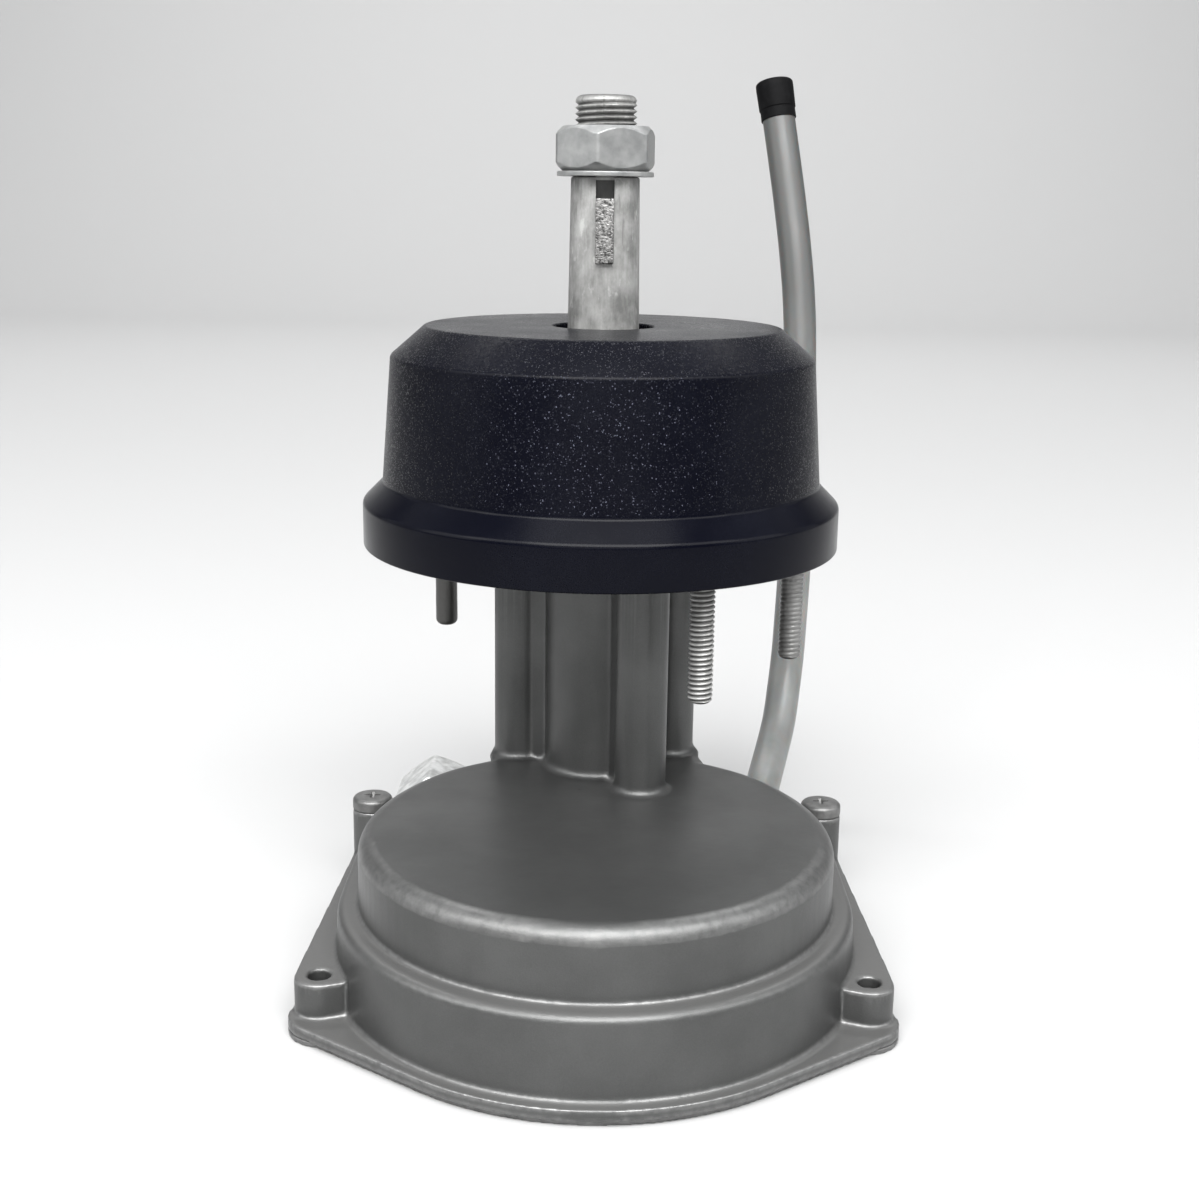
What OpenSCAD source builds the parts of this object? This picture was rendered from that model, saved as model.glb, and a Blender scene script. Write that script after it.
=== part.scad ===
// Boat steering helm: a wheel shaft in a tall cast neck turns a grooved cable drum through one gear pair.
// Origin on the shaft axis at the underside of the back cover, +Z up the shaft, -Y towards the drum.

/* [Steering shaft] */
// Diameter of the shaft in its bushes
shaft_d = 19.05; // [16:0.05:23]
// Loss of diameter along the wheel taper
taper_drop = 1.05; // [0.5:0.05:2]
// Length of the wheel taper
taper_l = 38.5; // [28:0.5:45]
// Step in diameter from the taper to the thread
thread_step = 2; // [1.5:0.1:3]
// Length of the threaded end
thread_l = 20.3; // [18:0.1:28]
// Diameter of the pinion seat
seat_d = 10; // [8:0.1:11]
// Width of the wheel key
key_w = 4.8; // [3:0.1:6]
// Length of the wheel key
key_l = 16.5; // [10:0.5:19]
// Length of the keyway, which runs out at the thread
keyway_l = 22; // [20:0.5:25]
// Depth of the keyway below the small end of the taper
keyway_depth = 2.6; // [2:0.1:3]
// Height of the key above the keyway floor
key_h = 4.3; // [3.5:0.1:5]
// Chamfer on the threaded end
shaft_chamfer = 1.5; // [0.5:0.1:2]

/* [Wheel nut] */
// Wall of the nut, thread to flat
nut_wall = 4; // [3:0.1:6]
// Height of the nut
nut_h = 11.3; // [9:0.1:15]
// Height of the turned corners on the nuts
nut_corner = 2; // [0.5:0.1:2.5]
// Thickness of the washer
washer_t = 1.3; // [1:0.1:2.5]
// Rim of the washer outside the nut's flats
washer_rim = 0.7; // [0.5:0.1:3]
// Turn of the tightened nut on its thread
nut_turn = 20; // [0:1:59]

/* [Shaft bearings] */
// Wall of the shaft bushes
bush_wall = 2.4; // [1.5:0.1:4]
// Length of each bush
bush_l = 18; // [12:0.5:25]
// Thickness of the bush flanges
bush_flange_t = 1.5; // [1:0.1:2]
// Width of the bush flanges outside the bush
bush_flange_w = 1.2; // [0.5:0.1:1.5]
// Thickness of the wave washer
wave_t = 1; // [0.5:0.1:1.5]
// Thickness of the retaining rings
ring_t = 1.2; // [0.8:0.1:1.5]
// Width of the pinion's retaining ring outside its seat
ring_w = 2; // [1:0.1:3]
// Depth of the retaining ring grooves
ring_groove = 0.9; // [0.5:0.1:1.2]

/* [Gears] */
// Module of the gear pair
gear_module = 1.5; // [1.25:0.05:1.8]
// Teeth of the pinion
pinion_teeth = 12; // [11:1:14]
// Teeth of the drum gear
drum_teeth = 54; // [48:1:56]
// Width of the teeth
gear_w = 11.5; // [9:0.5:14]
// Shift of the pinion's teeth outwards, in modules
tooth_shift = 0.3; // [0.25:0.01:0.4]
// Play between the teeth
backlash = 0.25; // [0.15:0.01:0.4]

/* [Cable drum] */
// Radius at which the cable core lies on the drum
core_r = 50; // [46:0.5:60]
// Diameter of the cable core
core_d = 9.5; // [8:0.1:11]
// Width of the spool
spool_w = 18.4; // [15:0.2:22]
// Room round the core in the housing
core_room = 1.75; // [1.5:0.05:4]
// Play of the core in its bores
core_play = 0.5; // [0.3:0.05:0.8]
// Play of the core in the drum's groove
groove_play = 0.15; // [0.1:0.05:0.4]
// Height of the spool's edge above the core's centre line
spool_lip = 1; // [0.5:0.1:1.5]
// Radial depth of the spool rim
spool_rim = 9; // [7.5:0.5:11]
// Thickness of the web between hub and rim
web_t = 6; // [4:0.5:8]
// Outer diameter of the hub
hub_d = 28; // [24:1:32]
// Gap between the spool and the teeth
gear_gap = 3.3; // [3:0.1:5]
// Number of holes in the web
web_holes = 5; // [3:1:8]
// Wall between the web holes and the rims
web_hole_wall = 2; // [1:0.5:4]
// Wall of the gear rim inside the roots
gear_rim = 5; // [4:0.5:6]
// Diameter of the fixed axle
axle_d = 12; // [10:0.5:14]
// Wall of the drum's bush
drum_bush_wall = 2.5; // [2:0.1:3]
// Thickness of the thrust washer
thrust_t = 1.5; // [1:0.1:2]

/* [Housing] */
// Wall of the upper drum
wall = 4; // [4:0.5:7]
// Thickness of the roof
roof_t = 3.6; // [3:0.1:5]
// Roof left above the end of the axle
axle_roof = 1.6; // [1:0.1:2]
// Room round the pinion
pinion_room = 2; // [1:0.1:3]
// Width of the ledge between the upper and lower drum
ledge_w = 5.5; // [3.4:0.1:7]
// Height of the ledge
ledge_z = 25; // [22:0.5:30]
// Radius of the roof's edge
top_round = 4; // [2:0.5:4.5]
// Radius of the ledge's edge
ledge_round = 2.5; // [1:0.25:2.5]
// Radius of the fillet inside the ledge
ledge_fillet = 0.8; // [0.3:0.1:0.8]
// Outward lean of the lower wall
draft = 0.5; // [0.5:0.1:3]
// Distance from the drum centre to the flat back wall
body_back = 63.5; // [60:0.5:76]
// Thickness of the back cover's rim
cover_t = 1.5; // [1.4:0.1:3]
// Height of the cover's round step inside the housing
cover_step = 1.5; // [0.5:0.1:2]
// Lip of the flange outside the lower wall
cover_lip = 3.2; // [2:0.1:5]
// Step of the cover inside the flange's edge
cover_inset = 1.2; // [0:0.1:1.5]
// Height of the side wings
wing_h = 13.5; // [9:0.5:15]
// Thickness of the housing flange above the cover
flange_t = 2.9; // [2:0.1:4]
// Radius of the fillet between the flange and the lower wall
foot_round = 1.2; // [0.5:0.1:1.5]
// Radius of the front ear bosses
ear_r = 6.2; // [4.5:0.1:6.5]
// Distance of the front ears outside the lower wall's foot
ear_out = 1; // [0.5:0.1:3]
// Distance of the front ears in front of the drum centre
ear_forward = 24.5; // [14:0.5:27]
// Radius of the flange corners at the front ears
corner_r = 9.4; // [8:0.1:11]
// Distance of the flange corners inside the ears
corner_in = 2; // [1:0.5:3]
// Distance of the flange corners in front of the ears
corner_forward = 2.5; // [2:0.5:7]
// Diameter of the holes in the front ears
ear_hole_d = 5.7; // [4.5:0.1:6.5]
// Depth of the screw tips below the top of the front ears
ear_tip_depth = 2.5; // [1:0.5:4]
// Radius of the heads of the screws in the front ears
ear_head_r = 4; // [3.5:0.1:4.2]
// Radius of the rear bosses
boss_r = 5.7; // [5:0.1:7]
// Height of the rear bosses
boss_h = 26.5; // [20:0.5:28]
// Distance of the rear bosses behind the drum centre
boss_back = 55; // [50:0.5:57]
// Distance of the rear bosses inside the lower wall
boss_in = 0.9; // [0:0.1:1.5]
// Step of the wing's end inside the rear boss
boss_step = 0.4; // [0.3:0.1:1]
// Step of the flange's side inside the rear boss
flange_in = 1.5; // [1.2:0.1:2]
// Diameter of the rear screws
rear_screw_d = 6; // [5:0.5:7]
// Height of the rear screw heads
rear_head_h = 3.8; // [3:0.1:7]
// Radius of the rear screw heads' edges
rear_head_round = 1.2; // [0.5:0.1:2]

/* [Neck] */
// Wall of the neck tube
neck_wall = 2.7; // [2:0.1:4]
// Height of the neck from the roof to the dash face
neck_l = 64.6; // [50:0.5:80]
// Radius of the three screw columns
column_r = 7; // [6:0.1:8]
// Gap between the neck tube and the columns
column_gap = 2.3; // [1:0.1:4]
// Width of the webs that join the columns to the tube
column_web = 9; // [6:0.5:11]
// Rim of the rear lobe outside the columns
lobe_rim = 0.5; // [0.5:0.1:3]
// Spread of the flare at the neck's foot
foot_flare = 2; // [1:0.5:4]
// Diameter of the plate screws
plate_screw_d = 6; // [5:0.5:7]
// Radius of the heads of the plate screws
plate_head_r = 5.6; // [4.5:0.1:6]
// Depth of the plate screws in the columns
plate_screw_l = 16; // [10:1:25]

/* [Bezel and plate] */
// Radius of the bezel rim
rim_r = 64.6; // [62:0.1:78]
// Height of the bezel rim
rim_h = 11.6; // [8:0.1:14]
// Wall of the bezel rim beside the plate
rim_wall = 2.8; // [2:0.1:4]
// Width of the chamfer above the rim
rim_chamfer = 5.4; // [3:0.1:7]
// Height of the bezel
bezel_h = 58.3; // [49:0.1:70]
// Inward lean of the bezel wall
bezel_lean = 2.5; // [0:0.1:4]
// Height of the sloping shoulder
shoulder_h = 8; // [5:0.5:10]
// Width of the sloping shoulder
shoulder_w = 9.2; // [6:0.1:14]
// Radius of the bezel's edges
bezel_round = 1.5; // [0.8:0.1:2]
// Wall of the bezel
bezel_wall = 2.6; // [2:0.1:3.5]
// Room between the retaining ring and the bezel
ring_room = 1.9; // [1:0.1:4]
// Width of the gap round the shaft
bezel_gap = 4; // [3:0.1:6]
// Thickness of the mounting plate
plate_t = 5; // [4:0.1:7]
// Diameter of the dash studs
stud_d = 6.35; // [5:0.05:8]
// Length of the studs below the dash face
stud_l = 31.9; // [20:0.1:40]
// Step of the studs' pressed shanks in the plate
stud_shank = 0.5; // [0.3:0.1:1]
// Distance of the studs inside the plate's edge
stud_in = 8.5; // [6.5:0.5:13]

/* [Cable ports] */
// Outer radius of the port bosses
port_r = 9; // [8:0.1:9.5]
// Length of the port bosses
port_l = 22; // [16:0.5:28]
// Wall of the port nut, thread to flat
port_nut_wall = 2.5; // [2:0.1:3]
// Length of the port nut
port_nut_l = 24; // [18:0.5:28]
// Overlap of the nut on the port boss
port_nut_grip = 8; // [5:0.5:11]
// Turn of the tightened port nut
port_nut_turn = 23; // [0:1:59]
// Diameter of the hole for the cable conduit
conduit_d = 12; // [10:0.1:14]
// Outer diameter of the spent tube
tube_d = 11; // [9:0.1:12]
// Wall of the tube's cap
cap_wall = 0.8; // [0.7:0.1:2]
// Length of the tube's cap
cap_l = 13; // [10:0.5:18]
// Thickness of the cap's end
cap_end = 2.5; // [1.5:0.1:4]
// Radius of the cap's edge
cap_round = 1; // [0.5:0.1:1.2]
// Length of the cap's thin skirt
cap_skirt_l = 3.5; // [2:0.1:5]
// Wall of the cap's thin skirt
cap_skirt = 0.4; // [0.3:0.1:0.6]

/* [Fits] */
// Radial gap of a shaft that turns in its bush
run_fit = 0.05; // [0.02:0.01:0.1]
// Radial gap of a pressed or threaded piece
press_fit = 0.02; // [0.01:0.01:0.05]
// Gap between pieces that pass each other
clear = 0.3; // [0.2:0.05:0.5]
// Depth of pin and screw ends below the face round them
end_recess = 0.4; // [0.2:0.1:0.8]
// Chamfer on the ends of screws and studs
point = 0.8; // [0.4:0.1:1]

/* [Hidden] */
$fn = 64;

// Angles of the screw columns and the studs, from the front towards +X
column_angles = [29, 120, -109];
stud_angles = [29, 86, 238.5];
// Points of the spent tube's centre line, from the mouth of its port
tube_steps = [
  [0, -12, 0], [0, 0, 0], [1.5, 10, 1], [4, 20.5, 4.5], [7, 30.5, 10], [10, 39.5, 17.5],
  [12, 46.5, 27], [13.5, 51.5, 38], [14.5, 55.5, 51], [15.5, 60, 67], [16, 64.5, 84],
  [16.5, 69, 101], [16.5, 73.5, 118], [16.5, 78, 135], [16, 82.5, 152], [14.5, 87, 169],
  [12.5, 91.5, 185], [10.5, 95.5, 199], [8.5, 99, 212], [7, 101.5, 222]
];
tube_sides = 12;
arc_steps = 8;
front_steps = 16;
flare_steps = 4;
tooth_steps = 4;
pressure_angle = 20;
dedendum = 1.25;
// Angles where the flange's corner and the wing's end run out
corner_end = 30;
wing_end = 120;
cut = 1;

// Shaft and bearings, outwards from the axis
shaft_r = shaft_d / 2;
taper_end_r = shaft_r - taper_drop / 2;
thread_r = taper_end_r - thread_step / 2;
key_floor_r = taper_end_r - keyway_depth;
seat_r = seat_d / 2;
bush_r = shaft_r + run_fit + bush_wall;
flange_r = bush_r + bush_flange_w;
neck_bore_r = bush_r + press_fit;
neck_r = neck_bore_r + neck_wall;
ring_r = shaft_r + bush_wall;
nut_flat_r = thread_r + nut_wall;
washer_r = nut_flat_r + washer_rim;

// Gears and drum
centre_distance = gear_module * (pinion_teeth + drum_teeth) / 2;
drum_centre = [0, -centre_distance, 0];
pinion_tip_r = gear_module * (pinion_teeth / 2 + 1 + tooth_shift);
gear_root_r = gear_module * (drum_teeth / 2 - dedendum - tooth_shift);
axle_r = axle_d / 2;
drum_bush_r = axle_r + run_fit + drum_bush_wall;
spool_r = core_r + spool_lip;

// Housing, outwards from the drum centre
cavity_r = core_r + core_d / 2 + core_room;
upper_r = cavity_r + wall;
lower_r = upper_r + ledge_w;
foot_r = lower_r + draft;
ear = [foot_r + ear_out, -centre_distance - ear_forward];
ear_screw_d = ear_hole_d - 2 * press_fit;
corner = ear - [corner_in, corner_forward];
boss = [lower_r - boss_in, boss_back - centre_distance];
back_y = body_back - centre_distance;
column_ring = neck_r + column_gap + column_r;
lobe_r = column_ring + column_r + lobe_rim;
port_y = back_y + port_l;
core_bore_r = core_d / 2 + core_play;
pocket_r = max(pinion_tip_r + pinion_room, flange_r + clear);

// Heights, upwards from the underside of the back cover
flange_top_z = cover_t + flange_t;
step_z = cover_t + cover_step;
drum_z = step_z + thrust_t + clear;
port_z = drum_z + spool_w / 2;
spool_top_z = drum_z + spool_w;
gear_z = spool_top_z + gear_gap;
pinion_ring_z = gear_z - ring_t - press_fit;
gear_top_z = gear_z + gear_w;
flange_z = gear_top_z + clear;
roof_z = flange_z + bush_flange_t + press_fit;
top_z = roof_z + roof_t;
axle_top_z = top_z - axle_roof;
plate_z = top_z + neck_l;
plate_top_z = plate_z + plate_t;
bezel_top_z = plate_z + bezel_h;
neck_top_z = bezel_top_z - bezel_wall - ring_room - ring_t - wave_t - clear - bush_flange_t;
wave_z = neck_top_z + bush_flange_t + clear;
ring_z = wave_z + wave_t;
taper_top_z = bezel_top_z + taper_l;
nut_z = taper_top_z + washer_t;
shaft_top_z = taper_top_z + thread_l;
shaft_foot_z = pinion_ring_z - ring_t / 2;
tube_route = [for (p = tube_steps) [core_r, port_y, port_z] + p];

// Bezel, outwards from the shaft axis
plate_r = rim_r - rim_wall - clear;
stud_ring = plate_r - stud_in;
stud_r = stud_d / 2;
shank_r = stud_r + stud_shank;
chamfer_z = plate_z + rim_h + rim_chamfer;
bezel_foot_r = rim_r - rim_chamfer;
shoulder_z = bezel_top_z - shoulder_h;
shoulder_r = bezel_foot_r - bezel_lean;
bezel_hole_r = shaft_r + bezel_gap;

function polar(r, a) = [r * cos(a), r * sin(a)];
function around_front(r, a) = [r * sin(a), -r * cos(a), 0];
function arc(c, r, a0, a1, steps = arc_steps) =
  [for (i = [0:steps]) c + polar(r, a0 + (a1 - a0) * i / steps)];
function reversed(list) = [for (i = [len(list) - 1:-1:0]) list[i]];
function mirrored(list) = [for (p = reversed(list)) [-p[0], p[1]]];
function unit(v) = v / norm(v);

// Angle of the normal to the common tangent of two circles, on the right when going from a to b
function tangent_angle(a, ra, b, rb) =
  let (d = b - a)
  atan2(d[1], d[0]) - acos((ra - rb) / norm(d));

// Round of radius r at corner b of the path a, b, c
function round_corner(a, b, c, r) =
  let (u = unit(a - b))
  let (v = unit(c - b))
  let (half = acos(u * v) / 2)
  let (centre = b + unit(u + v) * r / sin(half))
  let (from = b + u * r / tan(half) - centre)
  let (to = b + v * r / tan(half) - centre)
  let (start = atan2(from[1], from[0]))
  let (turn = (atan2(to[1], to[0]) - start + 540) % 360 - 180)
  arc(centre, r, start, start + turn);

// Involute tooth: half of its angle at radius r, from its thickness at the pitch circle
function involute_angle(a) = tan(a) * 180 / PI - a;
function tooth_half(r, pitch_r, base_r, thick) =
  thick / 2 / pitch_r * 180 / PI + involute_angle(pressure_angle) - involute_angle(acos(min(1, base_r / r)));
function gear_points(teeth, shift) =
  let (pitch_r = gear_module * teeth / 2)
  let (base_r = pitch_r * cos(pressure_angle))
  let (root_r = pitch_r + gear_module * (shift - dedendum))
  let (tip_r = pitch_r + gear_module * (shift + 1))
  let (thick = gear_module * (PI / 2 + 2 * shift * tan(pressure_angle)) - backlash / 2)
  let (flank_r = max(base_r, root_r))
  let (radii = concat([root_r], [for (k = [0:tooth_steps]) flank_r + (tip_r - flank_r) * k / tooth_steps]))
  let (last = len(radii) - 1)
  [
    for (i = [0:teeth - 1])
      for (side = [-1, 1])
        for (k = [(root_r < base_r ? 0 : 1):last])
          let (r = radii[side < 0 ? k : last + (root_r < base_r ? 0 : 1) - k])
          polar(r, 360 * i / teeth + side * tooth_half(max(r, base_r), pitch_r, base_r, thick))
  ];

// Swept tube: a ring of points round each point of a route
function route_direction(p, i) = unit(p[min(i + 1, len(p) - 1)] - p[max(i - 1, 0)]);
function ring_points(c, d, r, n) =
  let (u = unit(cross(d, [1, 0, 0])))
  let (v = cross(d, u))
  [for (j = [0:n - 1]) c + r * (cos(360 * j / n) * u + sin(360 * j / n) * v)];

module both_sides() {
  children();
  mirror([1, 0, 0]) children();
}

module at_drum() {
  translate(drum_centre) children();
}

module column(r, z0, z1) {
  translate([0, 0, z0]) cylinder(h = z1 - z0, r = r);
}

module ring(inner_r, outer_r, z0, z1) {
  difference() {
    column(outer_r, z0, z1);
    column(inner_r, z0 - cut, z1 + cut);
  }
}

// A bar along +Y from y0 to y1
module bar(r, x, z, y0, y1) {
  translate([x, y0, z]) rotate([-90, 0, 0]) cylinder(h = y1 - y0, r = r);
}

// A turned drum with a rounded upper edge
module rounded_drum(r, z0, z1, edge) {
  rotate_extrude()
    polygon(concat([[0, z0], [r, z0]], arc([r - edge, z1 - edge], edge, 0, 90), [[0, z1]]));
}

// A hexagon nut with turned corners
module hex_nut(flat_r, h) {
  hex_r = flat_r / cos(30);
  intersection() {
    cylinder(h = h, r = hex_r, $fn = 6);
    rotate_extrude()
      polygon([[0, 0], [flat_r, 0], [hex_r, nut_corner], [hex_r, h - nut_corner], [flat_r, h], [0, h]]);
  }
}

// A screw with a countersunk head, head up at the origin
module flat_screw(d, l, head_r) {
  r = d / 2;
  rotate_extrude()
    polygon([[0, 0], [head_r, 0], [r, r - head_r], [r, point - l], [r - point, -l], [0, -l]]);
}

module flat_screw_hole(d, l, head_r) {
  r = d / 2 + press_fit;
  mouth_r = head_r + press_fit;
  rotate_extrude()
    polygon([[0, cut], [mouth_r, cut], [mouth_r, 0], [r, r - mouth_r], [r, -l], [0, -l]]);
}

// Lower body: one half section serves the round front and the straight sides
function lower_section() = concat(
  [[foot_r + foot_round, cover_t]],
  arc([foot_r + foot_round, flange_top_z + foot_round], foot_round, 270, 180, flare_steps),
  arc([lower_r - ledge_round, ledge_z - ledge_round], ledge_round, 0, 90)
);

module lower_body() {
  at_drum()
    rotate_extrude()
      polygon(concat([[0, cover_t]], lower_section(), [[0, ledge_z]]));
  translate([0, back_y, 0])
    rotate([90, 0, 0])
      linear_extrude(body_back)
        polygon(concat(lower_section(), mirrored(lower_section())));
  translate([0, 0, cover_t]) linear_extrude(flange_t) flange_outline(0);
}

// Flange: the round front, its corners at the ears and the straight sides
module flange_outline(inset) {
  centre = [0, -centre_distance];
  front_r = foot_r + cover_lip;
  front_angle = tangent_angle(centre, front_r, corner, corner_r);
  side_x = boss[0] + boss_r - flange_in;
  half = concat(
    arc(centre, front_r - inset, -90, front_angle, front_steps),
    arc(corner, corner_r - inset, front_angle, corner_end),
    [[side_x - inset, boss[1]], [side_x - inset, back_y - inset]]
  );
  polygon(concat(half, mirrored(half)));
}

module upper_body() {
  at_drum()
    rotate_extrude()
      polygon(concat(
        [[0, ledge_z - cut], [upper_r + ledge_fillet, ledge_z - cut]],
        arc([upper_r + ledge_fillet, ledge_z + ledge_fillet], ledge_fillet, 270, 180, flare_steps),
        arc([upper_r - top_round, top_z - top_round], top_round, 0, 90),
        [[0, top_z]]
      ));
  rounded_drum(lobe_r, cover_t, top_z, top_round);
}

// Wing: from the front ear along the side to the rear boss
module wing_outline() {
  centre = [0, -centre_distance];
  inward = unit(centre - ear);
  web_angle = atan2(inward[1], inward[0]) - 270;
  boss_end_r = boss_r - boss_step;
  side_angle = tangent_angle(ear, ear_r, boss, boss_end_r);
  polygon(concat(
    [ear + polar(ear_r, web_angle) + inward * (ear[0] - cavity_r + ear_r)],
    arc(ear, ear_r, web_angle, side_angle),
    arc(boss, boss_end_r, side_angle, wing_end),
    [[cavity_r, boss[1]]]
  ));
}

module wings() {
  both_sides() {
    translate([0, 0, cover_t]) linear_extrude(wing_h - cover_t) wing_outline();
    translate(boss) column(boss_r, cover_t, boss_h);
    bar(port_r, core_r, port_z, back_y - cut, port_y);
  }
}

module foot_flare_ring(r) {
  rotate_extrude()
    polygon(concat(
      [[0, top_z - cut], [r + foot_flare, top_z - cut]],
      arc([r + foot_flare, top_z + foot_flare], foot_flare, 270, 180, flare_steps),
      [[0, top_z + foot_flare]]
    ));
}

module neck() {
  column(neck_r, roof_z, neck_top_z);
  intersection() {
    union() {
      foot_flare_ring(neck_r);
      for (a = column_angles) translate(around_front(column_ring, a)) foot_flare_ring(column_r);
    }
    union() {
      column(lobe_r, roof_z, plate_z);
      at_drum() column(upper_r, roof_z, plate_z);
    }
  }
  for (a = column_angles) {
    translate(around_front(column_ring, a)) column(column_r, roof_z, plate_z);
    rotate([0, 0, a - 90])
      translate([0, -column_web / 2, roof_z])
        cube([column_ring, column_web, plate_z - roof_z]);
  }
}

module cavity() {
  difference() {
    at_drum() column(cavity_r, cover_t - cut, roof_z);
    at_drum() column(hub_d / 2, gear_top_z + clear, roof_z + cut);
  }
  column(pocket_r, shaft_foot_z - clear, roof_z);
  column(neck_bore_r, roof_z - cut, neck_top_z + cut);
  at_drum() column(axle_r + press_fit, gear_top_z, axle_top_z);
}

module main_housing() {
  color("dimgray") {
    difference() {
      union() {
        lower_body();
        upper_body();
        wings();
        neck();
      }
      cavity();
      both_sides() {
        translate(ear) column(ear_hole_d / 2, cover_t - cut, wing_h + cut);
        translate(boss) column(rear_screw_d / 2 + press_fit, cover_t - cut, boss_h + cut);
        translate(boss) column(boss_r + clear, boss_h, max(boss_h, ledge_z) + cut);
        bar(core_bore_r, core_r, port_z, -centre_distance, port_y + cut);
      }
      bar(tube_d / 2 + press_fit, core_r, port_z, tube_route[0][1], port_y + cut);
      for (a = column_angles)
        translate(around_front(column_ring, a))
          column(plate_screw_d / 2 + press_fit, plate_z - plate_screw_l - cut, plate_z + cut);
    }
  }
}

module back_cover() {
  color("gray")
    difference() {
      union() {
        linear_extrude(cover_t) flange_outline(cover_inset);
        both_sides() translate(corner) column(corner_r, 0, cover_t);
        at_drum() column(cavity_r - clear, 0, step_z);
      }
      at_drum() column(axle_r + press_fit, -cut, step_z + cut);
      both_sides() {
        translate(ear) mirror([0, 0, 1]) flat_screw_hole(ear_screw_d, wing_h, ear_head_r);
        translate(boss) column(rear_screw_d / 2 + press_fit, -cut, cover_t + cut);
      }
    }
}

module front_cover_screws() {
  color("lightgray")
    both_sides()
      translate(ear) mirror([0, 0, 1]) flat_screw(ear_screw_d, wing_h - ear_tip_depth, ear_head_r);
}

module rear_cover_screws() {
  color("lightgray")
    both_sides()
      translate(boss) {
        column(rear_screw_d / 2, end_recess, boss_h + cut);
        rounded_drum(boss_r, boss_h, boss_h + rear_head_h, rear_head_round);
      }
}

module drum_axle() {
  color("silver") at_drum() column(axle_r, end_recess, axle_top_z - press_fit);
}

module drum_bush() {
  color("peru") at_drum() ring(axle_r + run_fit, drum_bush_r, drum_z, gear_top_z);
}

module drum_thrust_washer() {
  color("silver") at_drum() ring(axle_r + clear, hub_d / 2, step_z, step_z + thrust_t);
}

module cable_drum() {
  web_z = port_z - web_t / 2;
  hole_ring = (hub_d / 2 + gear_root_r - gear_rim) / 2;
  hole_r = (gear_root_r - gear_rim - hub_d / 2) / 2 - web_hole_wall;
  color("lightslategray")
    at_drum() {
      difference() {
        rotate_extrude()
          difference() {
            union() {
              translate([drum_bush_r + press_fit, drum_z])
                square([hub_d / 2 - drum_bush_r - press_fit, gear_top_z - drum_z]);
              translate([hub_d / 2 - cut, web_z]) square([core_r - hub_d / 2, web_t]);
              translate([spool_r - spool_rim, drum_z]) square([spool_rim, spool_w]);
              translate([gear_root_r - gear_rim, web_z + cut])
                square([gear_rim / 2, gear_top_z - web_z - cut]);
            }
            translate([core_r, port_z]) circle(core_d / 2 + groove_play);
          }
        for (i = [0:web_holes - 1])
          translate(polar(hole_ring, 360 * i / web_holes)) column(hole_r, web_z - cut, web_z + web_t + cut);
      }
      translate([0, 0, gear_z])
        linear_extrude(gear_w)
          difference() {
            rotate(90) polygon(gear_points(drum_teeth, -tooth_shift));
            circle(gear_root_r - gear_rim);
          }
    }
}

module drive_pinion() {
  color("silver")
    translate([0, 0, gear_z])
      linear_extrude(gear_w)
        difference() {
          rotate(180 / pinion_teeth - 90) polygon(gear_points(pinion_teeth, tooth_shift));
          circle(seat_r + press_fit);
        }
}

module pinion_ring() {
  color("dimgray")
    ring(seat_r - ring_groove + press_fit, seat_r + ring_w, pinion_ring_z, pinion_ring_z + ring_t);
}

module wheel_shaft() {
  groove_r = shaft_r - ring_groove;
  color("silver")
    difference() {
      rotate_extrude()
        polygon([
          [0, shaft_foot_z], [seat_r, shaft_foot_z],
          [seat_r, pinion_ring_z], [seat_r - ring_groove, pinion_ring_z],
          [seat_r - ring_groove, pinion_ring_z + ring_t], [seat_r, pinion_ring_z + ring_t],
          [seat_r, gear_top_z], [shaft_r, gear_top_z],
          [shaft_r, ring_z], [groove_r, ring_z], [groove_r, ring_z + ring_t], [shaft_r, ring_z + ring_t],
          [shaft_r, bezel_top_z], [taper_end_r, taper_top_z], [thread_r, taper_top_z],
          [thread_r, shaft_top_z - shaft_chamfer], [thread_r - shaft_chamfer, shaft_top_z], [0, shaft_top_z]
        ]);
      translate([-key_w / 2, -shaft_d, taper_top_z - keyway_l])
        cube([key_w, shaft_d - key_floor_r, keyway_l]);
    }
}

module wheel_key() {
  color("darkgray")
    translate([press_fit - key_w / 2, -key_floor_r - key_h, taper_top_z - keyway_l])
      cube([key_w - 2 * press_fit, key_h, key_l]);
}

module wheel_washer() {
  color("gainsboro") ring(thread_r + clear, washer_r, taper_top_z, nut_z);
}

module wheel_nut() {
  color("lightgray")
    translate([0, 0, nut_z])
      difference() {
        rotate(nut_turn) hex_nut(nut_flat_r, nut_h);
        column(thread_r + press_fit, -cut, nut_h + cut);
      }
}

module lower_bush() {
  color("peru") {
    ring(shaft_r + run_fit, bush_r, flange_z, roof_z + bush_l);
    ring(shaft_r + run_fit, flange_r, flange_z, flange_z + bush_flange_t);
  }
}

module upper_bush() {
  color("peru") {
    ring(shaft_r + run_fit, bush_r, neck_top_z - bush_l, neck_top_z + bush_flange_t);
    ring(shaft_r + run_fit, flange_r, neck_top_z, neck_top_z + bush_flange_t);
  }
}

module shaft_wave_washer() {
  color("silver") ring(shaft_r + run_fit, ring_r, wave_z, wave_z + wave_t);
}

module shaft_retaining_ring() {
  color("dimgray") ring(shaft_r - ring_groove + press_fit, ring_r, ring_z, ring_z + ring_t);
}

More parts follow.
